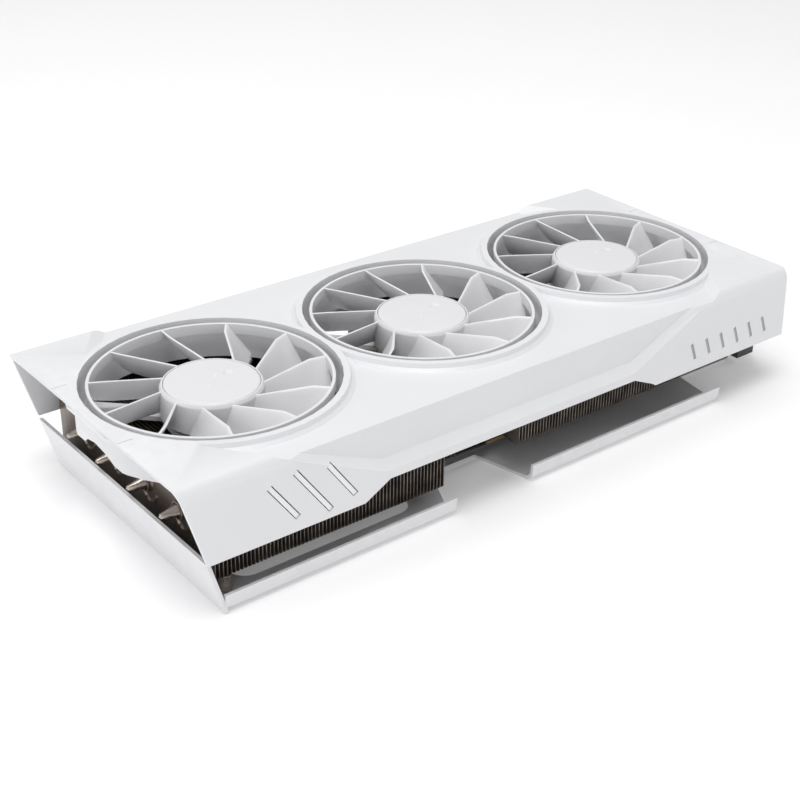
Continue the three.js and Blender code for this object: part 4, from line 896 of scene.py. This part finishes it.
copyPiece("selectorHousing", "switch_housing", "portSteel", "steel", bevel=0.15)
copyPiece("selectorKnob", "switch_slider", "socketBlack", "black_plastic", "selector", bevel=0.2)
copyPiece("gpuPackage", "gpu_package", "chipEpoxy", "chip", bevel=0.12)
print("board made")


# Backplate, brackets and screws

copyPiece("backplateShell", "backplate", "backplateWhite", "backplate_metal", sharpAngle=30,
          bevel=0.3, bevelSteps=2, bevelAngle=38)
copyPiece("bracketPlate", "io_bracket", "bracketBlack", "bracket_metal", bevel=0.2)
copyPiece("retentionCross", "retention_bracket", "springSteel", "spring_steel", bevel=0.25)

screws = {
    "crossWide": 0.55, "crossLong": 1.9, "crossDeep": 0.45, "rings": 16, "sides": 48,
    "sets": [  # piece, nodes, how many, finish, head radius, shank radius, head depth, faces down
        ("springScrews", "spring_screw_%d", 4, "screwSteel", 3.0, 1.5, 2.0, True),
        ("backplateScrews", "backplate_screw_%d", 4, "screwBlack", 2.6, 1.2, 0.5, True),
        ("bracketScrews", "bracket_screw_%d", 2, "screwSteel", 2.2, 1.2, 1.4, False)]}


# Head: a rounded disc whose face sinks where |x| or |y| is under the cross's half width and inside its length
def headPart(centre, radius, faceZ, backZ):
    edge = np.array([0.94, 0.985, 1.0])
    out = radius * np.concatenate([np.linspace(0, 0.86, screws["rings"]), edge])
    a = (np.arange(screws["sides"]) + 0.5) / screws["sides"] * fullTurn
    x, y = np.outer(out, np.cos(a)), np.outer(out, np.sin(a))
    scale = radius / 2.6
    arm = (np.minimum(np.abs(x), np.abs(y)) < screws["crossWide"] * scale) & (
        np.maximum(np.abs(x), np.abs(y)) < screws["crossLong"] * scale)
    crown = 0.16 * (out / radius)[:, None] ** 4
    inward = np.sign(backZ - faceZ)
    z = faceZ + inward * (crown + np.where(arm, min(screws["crossDeep"], 0.7 * abs(backZ - faceZ)), 0.0))
    back = np.stack([x[-1:], y[-1:], np.full((1, screws["sides"]), backZ)], -1)
    points = np.concatenate([np.stack([x, y, z], -1), back, back * (0, 0, 1)])
    points = points + np.array([centre[0], centre[1], 0])
    return points.reshape(-1, 3), [gridFaces(len(points), screws["sides"], False, True)]


def shankPart(centre, radius, lowZ, highZ):
    profile = softened([(0, lowZ), (radius, lowZ), (radius, highZ - 0.4), (radius - 0.4, highZ), (0, highZ)],
                       0.1, 3, closed=False)
    return turnedPart(profile, 20, (centre[0], centre[1], 0))


for name, pattern, count, finish, headRadius, shankRadius, headDepth, facesDown in screws["sets"]:
    nodes = [pattern % number for number in range(1, count + 1)]
    parts = []
    for node in nodes:
        low, high = boxOf(node)
        centre = (low + high) / 2
        face, back = (low[2], low[2] + headDepth) if facesDown else (high[2], high[2] - headDepth)
        parts.append(headPart(centre, headRadius, face, back))
        shank = (back - 0.1, high[2]) if facesDown else (low[2], back + 0.1)
        parts.append(shankPart(centre, shankRadius, *shank))
    makePiece(name, parts, finish, "steel", nodes=nodes, sharpAngle=30)

for number in (1, 2, 3, 4):
    copyPiece("standoff%d" % number, "post_%d" % number, "pipeNickel", "fin_metal", bevel=0.2)

# CAD nodes that stay as they are, with their finishes
keptFinishes = {
    "motor_shaft": "screwSteel", "bearing_sleeve": "copperPlate", "magnet_ring": "magnetFerrite",
    "stator": "copperWinding", "cold_plate": "copperPlate", "circuit_board": "boardLaminate",
    "memory_chip": "chipEpoxy"}
for node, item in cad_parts.items():
    for start, material in keptFinishes.items():
        if node.startswith(start):
            item.data.materials.clear()
            item.data.materials.append(finishes[material])
print("backplate and brackets made")


# Floor, light and camera

bpy.ops.mesh.primitive_plane_add(size=1)
floor = bpy.context.object
floor.name = "floor"
floor.data.transform(Matrix.Diagonal((8, 8, 1, 1)))
floor.data.materials.append(makeFloorMaterial())

lighting = {
    "world": 0.48,
    "areas": [  # name, watts, size and place, each aimed at the card
        ("key", 12.0, 0.8, (-0.25, -0.35, 1.6)),
        ("overhead", 4.5, 1.2, (0.1, 0.5, 1.5)),
        ("fromLeft", 4.5, 0.9, (-1.5, 0.45, 0.6)),
        ("lowFill", 1.6, 0.9, (-0.35, -1.5, 0.14))]}

world = bpy.data.worlds.new("studio")
bpy.context.scene.world = world
world.use_nodes = True
world.node_tree.nodes["Background"].inputs["Color"].default_value = (1.0, 1.0, 1.0, 1)
world.node_tree.nodes["Background"].inputs["Strength"].default_value = lighting["world"]
for name, watts, size, place in lighting["areas"]:
    lamp = bpy.data.lights.new(name, "AREA")
    lamp.shape = "SQUARE"
    lamp.size = size
    lamp.energy = watts
    stand = bpy.data.objects.new(name, lamp)
    bpy.context.scene.collection.objects.link(stand)
    stand.location = place
    stand.rotation_euler = (-Vector(place)).to_track_quat("-Z", "Y").to_euler()

lens = {"focal": 64.575, "azimuth": -38.5, "elevation": 28.53, "roll": 0.79,
        "place": (-362.45, -435.55, 316.7)}
azimuth, elevation, roll = (np.radians(lens[key]) for key in ("azimuth", "elevation", "roll"))
flatRight = np.array([np.cos(azimuth), np.sin(azimuth), 0])
level = np.cos(elevation)
back = np.array([np.sin(azimuth) * level, -np.cos(azimuth) * level, np.sin(elevation)])
flatUp = np.cross(back, flatRight)
right = np.cos(roll) * flatRight + np.sin(roll) * flatUp
up = np.cos(roll) * flatUp - np.sin(roll) * flatRight
camera = bpy.data.objects.new("camera", bpy.data.cameras.new("camera"))
bpy.context.scene.collection.objects.link(camera)
camera.data.lens = lens["focal"]
camera.data.sensor_width = 36
camera.data.clip_start = 0.01
turn = Matrix(np.column_stack([right, up, back]).tolist()).to_4x4()
camera.matrix_world = Matrix.Translation(Vector(np.array(lens["place"]) * mm)) @ turn
bpy.context.scene.camera = camera
bpy.context.scene.view_settings.view_transform = "Standard"
print("stage made")
